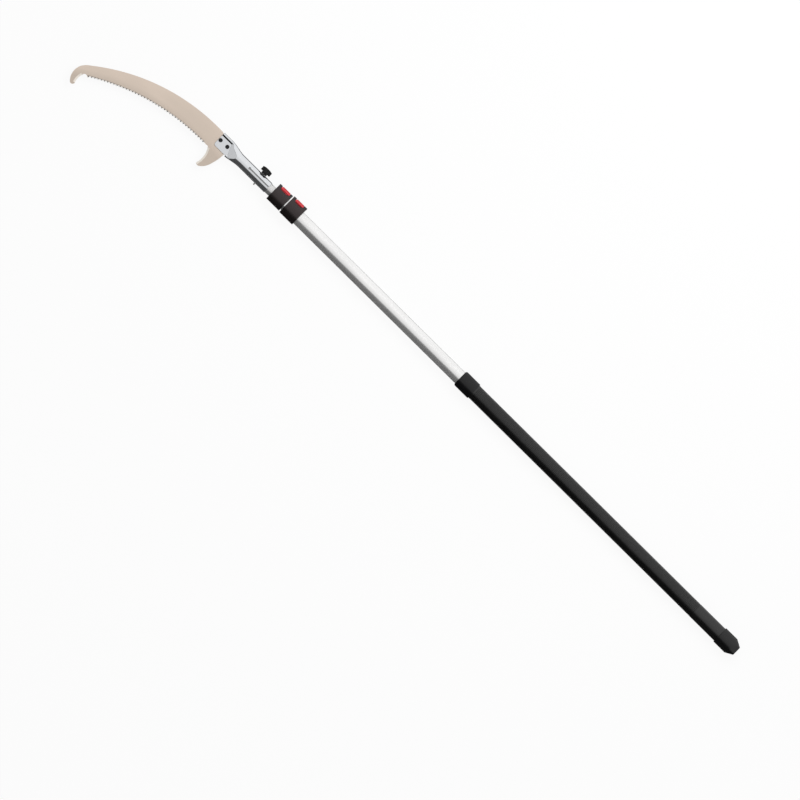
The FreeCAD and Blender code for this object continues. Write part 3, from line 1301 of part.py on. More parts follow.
def make_blade():
    """Curved saw plate with its ground teeth, pruning hook, heel hook and bolt holes."""
    thick = value("blade_thickness")
    plate = Part.Face(blade_outline()).extrude(Vector(0, 0, thick))
    plate.translate(Vector(0, 0, -thick / 2))
    hook, heel = hook_points(), heel_points()
    ground = tooth_grinding()
    for start, end, radius in (
        (hook["ball_inner"], hook["throat_edge"], value("hook_inner_radius")),
        (heel["throat_edge"], heel["tip"], value("sickle_edge_radius")),
    ):
        centre = bow_centre(start, end, radius, 1)
        ground.append(hook_grinding(centre, radius, start, end))
    bolts = Vector(value("head_length - bolt_edge - bolt_spacing / 2"), -value("bolt_offset"), 0)
    for piece in [plate] + ground:
        piece.rotate(bolts, Vector(0, 0, 1), -value("blade_tilt"))
    part = doc.addObject("Part::Feature", "blade_shape")
    part.Shape = plate.cut(ground + bolt_holes(thick * 3))
    register(part, "blade", AT_HEAD)


# ---------------------------------------------------------------- assembly


def main():
    lower = Clamp("lower", "outer", "middle", AT_LOWER_COLLAR)
    upper = Clamp("upper", "middle", "inner", AT_UPPER_COLLAR)
    lower_rivets = f"({AT_LOWER_COLLAR} + collar_socket / 2)"
    upper_rivets = f"({AT_UPPER_COLLAR} + collar_socket / 2)"
    outer_end = f"({AT_LOWER_COLLAR} + collar_socket)"
    middle_end = f"({AT_UPPER_COLLAR} + collar_socket)"
    make_tube("outer_tube", GROW["outer"], "cap_floor", outer_end, lower_rivets)
    make_tube("middle_tube", GROW["middle"], AT_MIDDLE_TUBE, middle_end, upper_rivets)
    make_inner_tube()
    make_guide_plug("middle_guide_plug", AT_MIDDLE_PLUG, GROW["middle"], GROW["outer"])
    make_guide_plug("inner_guide_plug", AT_INNER_PLUG, GROW["inner"], GROW["middle"])
    make_end_cap()
    make_grip_sleeve()
    make_grip_collar()
    for clamp in (lower, upper):
        make_collar(clamp)
        make_bush(clamp)
        make_lever(clamp)
        make_lever_pin(clamp)
        make_rivets(clamp)
    make_blade_head()
    make_clamp_screw()
    make_clamp_nut()
    make_clamp_knob()
    make_blade_bolts()
    make_blade_nuts()
    make_blade()
    doc.recompute()
    check_and_write()


def check_and_write():
    """Stop on any failed object or bad shape, then write one file for each sub-part."""
    for item in doc.Objects:
        if "Invalid" in item.State or "Error" in item.State:
            raise RuntimeError(f"{item.Name} failed: {item.State}")
    os.makedirs("parts", exist_ok=True)
    for part in SUB_PARTS:
        shape = part.Shape
        if shape.isNull() or not shape.isValid() or not shape.Solids:
            raise RuntimeError(f"{part.Label} has no sound shape")
        shape.exportStep(os.path.join("parts", f"{part.Label}.step"))
        print(f"{part.Label}: {len(shape.Solids)} solid(s), {shape.Volume:.1f} mm3")


main()
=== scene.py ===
"""Looks of a telescoping pole saw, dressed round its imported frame.

The saw lies flat on a pale floor. +X runs along the pole from the butt to the blade, +Y towards the
teeth and +Z up. Everything is in metres, in the frame's own place.
"""

from __future__ import annotations

import functools
import logging
import math
from collections.abc import Iterator
from dataclasses import dataclass
from enum import Enum
from typing import Protocol

import bmesh
import bpy
from mathutils import Matrix, Vector

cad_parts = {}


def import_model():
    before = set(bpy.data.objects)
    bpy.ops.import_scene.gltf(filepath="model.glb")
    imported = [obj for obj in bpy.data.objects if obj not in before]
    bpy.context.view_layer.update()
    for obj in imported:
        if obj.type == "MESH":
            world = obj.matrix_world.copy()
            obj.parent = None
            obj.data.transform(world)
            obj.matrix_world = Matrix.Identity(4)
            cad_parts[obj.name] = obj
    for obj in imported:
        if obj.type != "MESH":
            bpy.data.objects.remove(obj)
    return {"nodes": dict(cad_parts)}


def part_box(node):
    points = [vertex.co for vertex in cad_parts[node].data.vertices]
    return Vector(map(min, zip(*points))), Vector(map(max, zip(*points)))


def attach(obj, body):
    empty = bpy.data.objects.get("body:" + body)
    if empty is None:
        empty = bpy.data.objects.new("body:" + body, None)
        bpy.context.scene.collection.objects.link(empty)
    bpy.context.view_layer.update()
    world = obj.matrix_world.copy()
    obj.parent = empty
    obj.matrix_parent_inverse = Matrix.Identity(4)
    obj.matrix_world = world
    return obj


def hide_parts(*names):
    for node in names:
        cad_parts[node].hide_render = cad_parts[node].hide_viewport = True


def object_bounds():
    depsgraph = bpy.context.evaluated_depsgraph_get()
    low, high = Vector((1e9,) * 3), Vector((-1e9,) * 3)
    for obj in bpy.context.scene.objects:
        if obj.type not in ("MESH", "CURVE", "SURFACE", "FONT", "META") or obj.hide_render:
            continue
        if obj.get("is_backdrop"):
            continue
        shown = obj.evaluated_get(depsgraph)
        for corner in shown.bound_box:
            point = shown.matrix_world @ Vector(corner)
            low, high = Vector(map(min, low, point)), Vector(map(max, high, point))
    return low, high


log = logging.getLogger("pole_saw")

WELD = 1e-6  # metres; corners nearer than this become one
CAD_WELD = 2e-6
CUT_SNAP = 1e-7  # corners nearer than this to a cut's plane count as on it

Triple = tuple[float, float, float]
Colour = Triple
Pair = tuple[float, float]
Socket = bpy.types.NodeSocket
Nodes = dict[str, bpy.types.Object]

OUTER_TUBE: Triple = (0.0211, 0.01625, 0.01335)  # half width, half height and nose of the oval, with play
MIDDLE_TUBE: Triple = (0.01825, 0.0134, 0.0105)
LUG_REACH = 0.0104  # centre plane to the outer side of the lugs that hold a lever's pin


# ---------------------------------------------------------------- shader nodes


class Graph:
    """A node tree with short calls for the nodes that the finishes and the studio share."""

    def __init__(self, tree: bpy.types.NodeTree) -> None:
        """Wrap a node tree.

        Args:
            tree: The tree of a material or of the world.
        """
        self.tree = tree

    def node(self, kind: str, **settings: object) -> bpy.types.Node:
        """Add a node and set its own properties.

        Args:
            kind: The node's type name.
            settings: Properties of the node.

        Returns:
            The new node.
        """
        made = self.tree.nodes.new(kind)
        for name, setting in settings.items():
            setattr(made, name, setting)
        return made

    def feed(self, value: object, target: Socket) -> None:
        """Fill an input.

        Args:
            value: A number or colour to set, or an output to link.
            target: The input.
        """
        if isinstance(value, Socket):
            self.tree.links.new(value, target)
        else:
            target.default_value = value

    def math(self, operation: str, *terms: Socket | float) -> Socket:
        """One sum on numbers or outputs.

        Args:
            operation: The Math node's operation.
            terms: Its inputs in order, each an output or a number.

        Returns:
            The result.
        """
        made = self.node("ShaderNodeMath", operation=operation)
        for term, target in zip(terms, made.inputs):
            self.feed(term, target)
        return made.outputs[0]

    def all_of(self, *masks: Socket) -> Socket:
        """Where masks overlap.

        Args:
            masks: Outputs that are 0 or 1.

        Returns:
            Their product.
        """
        return functools.reduce(functools.partial(self.math, "MULTIPLY"), masks)

    def mix(
        self, share: Socket | float, first: Socket | Colour, second: Socket | Colour, blend: str = "MIX"
    ) -> Socket:
        """Mix two colours.

        Args:
            share: 0 gives the first colour and 1 the second.
            first: Linear red, green and blue, or an output.
            second: Linear red, green and blue, or an output.
            blend: How the two combine.

        Returns:
            The mixed colour.
        """
        made = self.node("ShaderNodeMix", data_type="RGBA", blend_type=blend)
        self.feed(share, made.inputs[0])
        for colour, target in ((first, made.inputs[6]), (second, made.inputs[7])):
            self.feed(colour if isinstance(colour, Socket) else (*colour, 1.0), target)
        return made.outputs[2]

    def axes(self, output: str) -> bpy.types.Node:
        """Split a texture coordinate.

        Args:
            output: Which coordinate, such as Object or Normal.

        Returns:
            A node with the outputs X, Y and Z.
        """
        where = self.node("ShaderNodeTexCoord")
        split = self.node("ShaderNodeSeparateXYZ")
        self.feed(where.outputs[output], split.inputs[0])
        return split


class Shader(Graph):
    """A material built round one Principled BSDF."""

    NOISE_RANGE: Pair = (0.3, 0.7)  # where nearly all of the noise lies
    BEND_RANGE: Pair = (0.990, 0.9985)  # how far two normals agree at a bend, and on smooth ground
    BEVEL_SAMPLES = 6

    def __init__(self, name: str) -> None:
        """Start a material.

        Args:
            name: The material's name.
        """
        self.material = bpy.data.materials.new(name)
        self.material.use_nodes = True
        super().__init__(self.material.node_tree)
        self.surface = self.tree.nodes["Principled BSDF"]

    def set(self, **values: object) -> None:
        """Fill inputs of the Principled BSDF.

        Args:
            values: What goes in each input, by its name in small letters with underscores for spaces.
        """
        targets = {target.name.lower(): target for target in self.surface.inputs}
        for name, value in values.items():
            self.feed(value, targets[name.replace("_", " ")])

    def noise(self, scale: Triple, detail: float) -> Socket:
        """Cloudy noise on Object coordinates.

        Args:
            scale: Repeats in a metre, along each axis.
            detail: How many finer layers it has.

        Returns:
            A grey value from 0 to 1.
        """
        mapping = self.node("ShaderNodeMapping")
        self.feed(scale, mapping.inputs["Scale"])
        self.feed(self.node("ShaderNodeTexCoord").outputs["Object"], mapping.inputs["Vector"])
        made = self.node("ShaderNodeTexNoise")
        self.feed(1.0, made.inputs["Scale"])
        self.feed(detail, made.inputs["Detail"])
        self.feed(mapping.outputs["Vector"], made.inputs["Vector"])
        return made.outputs["Fac"]

    def spread(self, grey: Socket, low: float, high: float, within: Pair = NOISE_RANGE) -> Socket:
        """Map a value from one range onto another.

        Args:
            grey: The value to map.
            low: What the range's start becomes.
            high: What the range's end becomes.
            within: The range.

        Returns:
            The mapped value.
        """
        made = self.node("ShaderNodeMapRange")
        for name, number in zip(("From Min", "From Max", "To Min", "To Max"), (*within, low, high)):
            self.feed(number, made.inputs[name])
        self.feed(grey, made.inputs["Value"])
        return made.outputs["Result"]

    def creases(self, reach: float) -> Socket:
        """Where a surface bends sharply.

        Args:
            reach: How far from the bend it counts, in metres.

        Returns:
            0 on smooth ground, up to 1 at a bend.
        """
        rounded = self.node("ShaderNodeBevel", samples=self.BEVEL_SAMPLES)
        self.feed(reach, rounded.inputs["Radius"])
        facing = self.node("ShaderNodeNewGeometry")
        dot = self.node("ShaderNodeVectorMath", operation="DOT_PRODUCT")
        self.feed(rounded.outputs["Normal"], dot.inputs[0])
        self.feed(facing.outputs["Normal"], dot.inputs[1])
        return self.spread(dot.outputs["Value"], 1.0, 0.0, self.BEND_RANGE)

    def roughen(self, grey: Socket, middle: float, play: float) -> None:
        """Set the roughness and let it waver.

        Args:
            grey: The noise that it follows.
            middle: The roughness in the middle of the noise.
            play: The share by which it falls and rises.
        """
        self.set(roughness=self.spread(grey, middle * (1 - play), middle * (1 + play)))

    def bump(self, height: Socket, distance: float) -> None:
        """Raise the surface by a grey value.

        Args:
            height: The value that raises it.
            distance: How far a value of 1 lifts it, in metres.
        """
        made = self.node("ShaderNodeBump")
        self.feed(distance, made.inputs["Distance"])
        self.feed(height, made.inputs["Height"])
        self.set(normal=made.outputs["Normal"])


# ---------------------------------------------------------------- finishes


def scaled(colour: Colour, *shares: float) -> Colour:
    """Darken or lighten a colour.

    Args:
        colour: Linear red, green and blue.
        shares: One factor for all three, or a factor for each.

    Returns:
        The new colour.
    """
    return tuple(part * share for part, share in zip(colour, shares * 3))


class FinishSpec(Protocol):
    """What every finish offers."""

    name: str

    def material(self) -> bpy.types.Material:
        """Build the finish."""


@dataclass(frozen=True)
class Moulding:
    """Moulded plastic or rubber: one colour with a fine grain and faint handling marks."""

    name: str
    colour: Colour
    roughness: float
    grain: float
    grain_depth: float
    wear: float = 0.25
    shine: float = 0.5
    gloss_tint: Colour = (1.0, 1.0, 1.0)
    marks: Triple = (22.0, 60.0, 60.0)
    play: float = 0.1

    def material(self) -> bpy.types.Material:
        """Build the finish."""
        shader = Shader(self.name)
        marks = shader.noise(self.marks, detail=4.0)
        dark, light = scaled(self.colour, 1 - self.wear), scaled(self.colour, 1 + self.wear)
        shader.set(
            base_color=shader.mix(shader.spread(marks, 0.0, 1.0), dark, light),
            specular_ior_level=self.shine,
            specular_tint=(*self.gloss_tint, 1.0),
        )
        shader.roughen(marks, self.roughness, self.play)
        shader.bump(shader.noise((self.grain,) * 3, detail=2.0), self.grain_depth)
        return shader.material


@dataclass(frozen=True)
class DrawnMetal:
    """Metal with fine lines along one axis; under 1, metal leaves a milky oxide skin over it.

    Past a place along the pole, a tube's covered end is painted darker as shade; crease is how wide the
    painted dark reflection along each sharp bend is; a painted shade line runs past one place along, between
    two across.
    """

    name: str
    colour: Colour
    roughness: float
    line_depth: float
    lines: Triple = (3.0, 900.0, 900.0)
    cloud: float = 0.05
    metal: float = 1.0
    covered_shade_start: float | None = None
    crease: float | None = None
    fold_shade_line: Triple | None = None
    clouds: Triple = (9.0, 30.0, 30.0)
    play: float = 0.12
    covered_shade_edge: float = 0.002
    covered_shade_share: float = 0.42
    painted_line_share: float = 0.05

    def material(self) -> bpy.types.Material:
        """Build the finish."""
        shader = Shader(self.name)
        lines = shader.noise(self.lines, detail=3.0)
        cloudy = shader.spread(shader.noise(self.clouds, detail=3.0), 0.0, 1.0)
        colour = shader.mix(cloudy, scaled(self.colour, 1 - self.cloud), self.colour)
        for mask, share in self.painted_dark_places(shader):
            colour = shader.mix(mask, colour, scaled(self.colour, share))
        shader.set(metallic=self.metal, base_color=colour)
        shader.roughen(lines, self.roughness, self.play)
        shader.bump(lines, self.line_depth)
        return shader.material

    def painted_dark_places(self, shader: Shader) -> Iterator[tuple[Socket, float]]:
        """The painted shade on a covered end, the painted dark reflection along the bends and the painted
        shade line, where the finish has them.

        Args:
            shader: The material that they go in.

        Yields:
            Where the place is, and the share of the colour that it keeps.
        """
        # painted shade: a tube's covered end is darkened as if shaded inside the part over it
        if self.covered_shade_start is not None:
            along = shader.axes("Object").outputs["X"]
            yield shader.spread(along, 0.0, 1.0, (self.covered_shade_start, self.covered_shade_start + self.covered_shade_edge)), self.covered_shade_share
        # painted dark reflection along every sharp bend
        if self.crease is not None:
            yield shader.creases(self.crease), self.painted_line_share
        # painted shade line on the spine side, between the bead and the cheek
        if self.fold_shade_line is not None:
            start, low, high = self.fold_shade_line
            where = shader.axes("Object").outputs
            above = shader.math("GREATER_THAN", where["Y"], low)
            below = shader.math("LESS_THAN", where["Y"], high)
            past = shader.math("GREATER_THAN", where["X"], start)
            yield shader.all_of(above, below, past), self.painted_line_share


@dataclass(frozen=True)
class PlatedBlade:
    """Satin plate brushed across the blade, with ground faces on every other tooth and in the hooks.

    The marks run from first_mark to last_mark, in pitches from the first tip.
    """

    name: str = "plated_blade_steel"
    plate: Colour = (0.72, 0.61, 0.515)
    lighter: Triple = (1.13, 1.12, 1.12)
    edge_share: float = 0.9
    edge_width: float = 0.022
    hook_grind: Colour = (0.93, 0.86, 0.77)
    tooth_grind: Colour = (0.055, 0.043, 0.036)
    pale_tooth: Colour = (0.90, 0.84, 0.78)
    metal: float = 0.55
    roughness: float = 0.34
    play: float = 0.12
    brush: Triple = (700.0, 12.0, 60.0)
    brush_depth: float = 3e-6
    clouds: Triple = (5.0, 11.0, 30.0)
    flat: float = 0.985
    upright: float = 0.08
    arc_centre: Pair = (2.07793, 0.70438)
    arc_radius: float = 0.6658
    arc_start: float = math.radians(-2.8)
    first_tip: float = 0.017825
    first_mark: float = -0.27
    last_mark: float = 81.9
    pitch: float = 0.00465
    depth: float = 0.0043
    run_out: float = 0.0019
    stroke: float = 0.0016
    overlap: float = 5e-5

    def material(self) -> bpy.types.Material:
        """Build the finish."""
        shader = Shader(self.name)
        brush = shader.noise(self.brush, detail=3.0)
        cloudy = shader.spread(shader.noise(self.clouds, detail=2.0), 0.0, 1.0)
        plate = shader.mix(cloudy, self.plate, scaled(self.plate, *self.lighter))
        inland = shader.spread(self.from_tips(shader)[0], 0.0, 1.0, (0.0, self.edge_width))
        plate = shader.mix(inland, scaled(self.plate, self.edge_share), plate)
        up = shader.math("ABSOLUTE", shader.axes("Normal").outputs["Z"])
        tilted = shader.math("LESS_THAN", up, self.flat)
        sloped = shader.all_of(tilted, shader.math("GREATER_THAN", up, self.upright))
        marks, pale, toothed = self.tooth_masks(shader)
        ground = shader.mix(toothed, self.hook_grind, self.tooth_grind)
        colour = shader.mix(sloped, shader.mix(pale, plate, self.pale_tooth), ground)
        shader.set(metallic=self.metal, base_color=shader.mix(marks, colour, self.tooth_grind))
        shader.roughen(brush, self.roughness, self.play)
        shader.bump(brush, self.brush_depth)
        return shader.material

    def from_tips(self, shader: Shader) -> tuple[Socket, Socket]:
        """Distance behind the arc of the tooth tips, and distance along it from the first tip.

        Args:
            shader: The material that they go in.

        Returns:
            The two distances in metres.
        """
        place = shader.axes("Object")
        across = shader.math("SUBTRACT", place.outputs["X"], self.arc_centre[0])
        down = shader.math("SUBTRACT", self.arc_centre[1], place.outputs["Y"])
        square = shader.math("ADD", shader.math("POWER", across, 2.0), shader.math("POWER", down, 2.0))
        behind = shader.math("SUBTRACT", shader.math("SQRT", square), self.arc_radius)
        turn = shader.math("SUBTRACT", shader.math("ARCTAN2", across, down), self.arc_start)
        return behind, shader.math("MULTIPLY_ADD", turn, self.arc_radius, -self.first_tip)

    def tooth_masks(self, shader: Shader) -> tuple[Socket, Socket, Socket]:
        """Where the toothed edge is ground, by place along and behind the arc of the tooth tips.

        Args:
            shader: The material that they go in.

        Returns:
            The ground flanks, the pale teeth between them, and the whole toothed stretch, each 0 or 1.
        """
        behind, along = self.from_tips(shader)
        beside = shader.math("PINGPONG", along, self.pitch)
        ground_tip = shader.math("SUBTRACT", self.pitch, beside)
        flank = shader.math("MULTIPLY", behind, self.pitch / 2 / self.depth)
        outer = shader.math("LESS_THAN", ground_tip, shader.math("ADD", flank, self.overlap))
        inner = shader.math("GREATER_THAN", ground_tip, shader.math("SUBTRACT", flank, self.stroke))
        deep = shader.math("LESS_THAN", behind, self.depth + self.run_out)
        first = shader.math("GREATER_THAN", along, self.pitch * self.first_mark)
        last = shader.math("LESS_THAN", along, self.pitch * self.last_mark)
        toothed = shader.all_of(first, last, deep)
        own = shader.math("LESS_THAN", beside, self.pitch / 2)
        tooth = shader.math("LESS_THAN", behind, self.depth)
        return shader.all_of(outer, inner, toothed), shader.all_of(own, tooth, toothed), toothed


class Finish(Enum):
    """Every finish on the saw."""

    TUBE = DrawnMetal("clear_anodised_tube", (0.90, 0.895, 0.89), 0.24, 1e-6, metal=0.8)
    # INNER_TUBE is TUBE's metal painted darker as shade from the head and collars, and darker still as shade
    # where the head covers it.
    INNER_TUBE = DrawnMetal("inner_tube_metal", (0.72, 0.715, 0.71), 0.26, 1e-6, metal=0.8, covered_shade_start=1.847)
    # CHROME has a painted dark reflection along its sharp bends and a painted shade line on the head's spine
    # side, between bead and cheek.
    CHROME = DrawnMetal(
        "chrome_plate",
        (0.76, 0.775, 0.795),
        0.09,
        6e-7,
        lines=(60.0, 60.0, 60.0),
        cloud=0.02,
        metal=0.95,
        crease=0.0010,
        fold_shade_line=(2.0035, -0.0172, -0.0141),
    )
    BLADE = PlatedBlade()
    BOLT = DrawnMetal("black_oxide_steel", (0.03, 0.03, 0.032), 0.3, 2e-6, (300.0, 300.0, 300.0), 0.2)
    STEEL = DrawnMetal("bright_steel", (0.62, 0.62, 0.60), 0.26, 2e-6)
    RIVET = DrawnMetal("rivet_aluminium", (0.66, 0.66, 0.66), 0.36, 2e-6, (200.0, 200.0, 200.0))
    BRASS = DrawnMetal("brass_insert", (0.72, 0.50, 0.22), 0.3, 2e-6, (200.0, 200.0, 200.0))
    RUBBER = Moulding("black_grip_rubber", (0.0026, 0.0026, 0.0027), 0.27, 1500.0, 6e-6, shine=0.66)
    CAP = Moulding("black_cap_rubber", (0.0032, 0.0033, 0.0036), 0.29, 1300.0, 6e-6, shine=0.46)
    RING = Moulding("black_ring_nylon", (0.003, 0.003, 0.0036), 0.28, 1600.0, 4e-6, shine=0.37)
    COLLAR = Moulding(
        "black_collar_nylon",
        (0.0060, 0.0046, 0.0046),
        0.27,
        1600.0,
        4e-6,
        shine=0.66,
        gloss_tint=(1.0, 0.86, 0.87),
    )
    KNOB = Moulding("black_knob_nylon", (0.004, 0.004, 0.004), 0.34, 1200.0, 6e-6, shine=0.32)
    LEVER = Moulding("red_lever_nylon", (0.60, 0.040, 0.050), 0.42, 1500.0, 6e-6, 0.08)
    GUIDE = Moulding("pale_guide_nylon", (0.45, 0.44, 0.41), 0.45, 1200.0, 6e-6, 0.06)

    @functools.cache
    def material(self) -> bpy.types.Material:
        """The finish's material, built the first time it is asked for."""
        spec: FinishSpec = self.value
        return spec.material()


# ---------------------------------------------------------------- pieces


def merged_copy(node: bpy.types.Object) -> bmesh.types.BMesh:
    """A CAD node's mesh with its loose corners joined.

    Args:
        node: The CAD node.

    Returns:
        A new bmesh that the caller owns.
    """
    shape = bmesh.new()
    shape.from_mesh(node.data)
    bmesh.ops.remove_doubles(shape, verts=shape.verts, dist=CAD_WELD)
    return shape


def stretch(shape: bmesh.types.BMesh, step: Vector, steps: int) -> None:
    """Extrude a loop along a line.

    Args:
        shape: The loop, which becomes the tube's start.
        step: One step of the line.
        steps: How many steps to take.
    """
    bmesh.ops.spin(
        shape,
        geom=shape.verts[:] + shape.edges[:],
        cent=(0, 0, 0),
        axis=step.normalized(),
        dvec=step,
        angle=0.0,
        steps=steps,
        use_duplicate=False,
    )


def open_edges(shape: bmesh.types.BMesh) -> list[bmesh.types.BMEdge]:
    """The edges round a shape's open ends."""
    return [edge for edge in shape.edges if edge.is_boundary]


def corners_in(geometry: list[bmesh.types.BMVert | bmesh.types.BMEdge]) -> list[bmesh.types.BMVert]:
    """The corners in what an operator made."""
    return [item for item in geometry if isinstance(item, bmesh.types.BMVert)]


def add_object(name: str, data: bpy.types.ID) -> bpy.types.Object:
    """Put an object in the scene.

    Args:
        name: The object's name.
        data: Its mesh, camera or lamp.

    Returns:
        The new object.
    """
    item = bpy.data.objects.new(name, data)
    bpy.context.scene.collection.objects.link(item)
    return item


def shade(shape: bmesh.types.BMesh, crease: float) -> None:
    """Shade faces smoothly and keep strong bends sharp.

    Args:
        shape: What is shaded.
        crease: Edges that bend more than this stay sharp.
    """
    for face in shape.faces:
        face.smooth = True
    for edge in shape.edges:
        edge.smooth = len(edge.link_faces) == 2 and edge.calc_face_angle(0.0) < crease


@dataclass
class SubAssembly:
    """A group of pieces that is built and dressed together."""

    nodes: Nodes

    def dress(self, finish: Finish, *names: str) -> None:
        """Give the frame's own nodes a finish.

        Args:
            finish: What they are finished in.
            names: The nodes.
        """
        for name in names:
            node = self.nodes[name]
            if not node.material_slots:
                node.data.materials.append(None)
            for slot in node.material_slots:
                slot.material = finish.material()
            log.info("%s: %s", name, finish.value.name)

    def make_piece(
        self,
        shape: bmesh.types.BMesh,
        name: str,
        finish: Finish,
        body: str,
        stands_for: str,
        slot: str,
        crease: float = math.radians(30),
    ) -> None:
        """Turn a finished bmesh into a piece that rides on a body.

        Args:
            shape: The piece's shape, which is freed.
            name: The piece's name.
            finish: What it is finished in.
            body: The body that carries it.
            stands_for: The CAD node that it replaces.
            slot: The material slot in the record. Not used.
            crease: Edges that bend more than this stay sharp.
        """
        shade(shape, crease)
        mesh = bpy.data.meshes.new(name)
        shape.to_mesh(mesh)
        shape.free()
        mesh.materials.append(finish.material())
        piece = add_object(name, mesh)
        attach(piece, body)
        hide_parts(stands_for)
        log.info("%s: %d faces, %s, in place of %s", name, len(mesh.polygons), finish.value.name, stands_for)


@dataclass
class Tubes(SubAssembly):
    """Three nested tubes and the guide plugs on the butt ends of the inner two."""

    def build(self) -> None:
        """Dress the tubes."""
        self.dress(Finish.TUBE, "outer_tube", "middle_tube")
        self.dress(Finish.INNER_TUBE, "inner_tube")
        self.dress(Finish.GUIDE, "middle_guide_plug", "inner_guide_plug")


@dataclass(frozen=True)
class RoundTop:
    """Turns a moulding's flat broad faces into one wide arc each, and leaves its bore alone.

    middle, half_width, half_height and corner are the flat outline. arc is the new faces' radius, side the
    height at which their round ends start, and bore the half width, half height and nose of the oval inside.
    Nothing under the height inside moves either.
    """

    middle: float
    half_width: float
    half_height: float
    corner: float
    arc: float
    side: float
    bore: Triple
    inside: float = 0.0
    play: float = 0.0003
    cuts: int = 15
    last_cut: float = math.radians(84)

    def flat_height(self, across: float) -> float:
        """Find the flat-topped outline.

        Args:
            across: Distance from the outline's middle.

        Returns:
            Its height there.
        """
        past = across - (self.half_width - self.corner)
        if past <= 0:
            return self.half_height
        return self.half_height - self.corner + math.sqrt(max(0.0, self.corner**2 - past**2))

    def round_height(self, across: float) -> float:
        """Find the arched outline.

        Args:
            across: Distance from the outline's middle.

        Returns:
            Its height there.
        """
        drop = self.side + self.arc - self.half_height
        corner = (self.arc**2 - self.half_width**2 - drop**2) / (2 * (self.arc - self.half_width))
        past = across - (self.half_width - corner)
        if across <= (self.half_width - corner) * self.arc / (self.arc - corner):
            return self.half_height - self.arc + math.sqrt(self.arc**2 - across**2)
        return self.side + math.sqrt(max(0.0, corner**2 - past**2))

    def core(self, place: float) -> float:
        """Find what has to stay as it is.

        Args:
            place: A place across the pole.

        Returns:
            The height under which nothing moves there.
        """
        half_width, half_height, nose = self.bore
        spread = half_width - nose
        side = (spread**2 + half_height**2 - nose**2) / (2 * (half_height - nose))
        across = abs(place)
        if across >= half_width:
            return self.inside
        if across <= spread * side / (side - nose):
            height = half_height - side + math.sqrt(side**2 - across**2)
        else:
            height = math.sqrt(nose**2 - (across - spread) ** 2)
        return max(self.inside, height + self.play)

    def form(self, shape: bmesh.types.BMesh) -> None:
        """Arch the outer faces of a moulding.

        Args:
            shape: The moulding, still flat on its broad faces.
        """
        for n in range(-self.cuts, self.cuts + 1):
            reach = self.half_width * math.sin(self.last_cut * n / self.cuts)
            bmesh.ops.bisect_plane(
                shape,
                geom=shape.verts[:] + shape.edges[:] + shape.faces[:],
                dist=CUT_SNAP,
                plane_co=Vector((0.0, self.middle + reach, 0.0)),
                plane_no=Vector((0, 1, 0)),
            )
        for vert in shape.verts:
            across = min(self.half_width, abs(vert.co.y - self.middle))
            height, core = abs(vert.co.z), self.core(vert.co.y)
            flat = self.flat_height(across)
            if height > core and flat > core:
                raised = core + (height - core) * (self.round_height(across) - core) / (flat - core)
                vert.co.z = math.copysign(raised, vert.co.z)


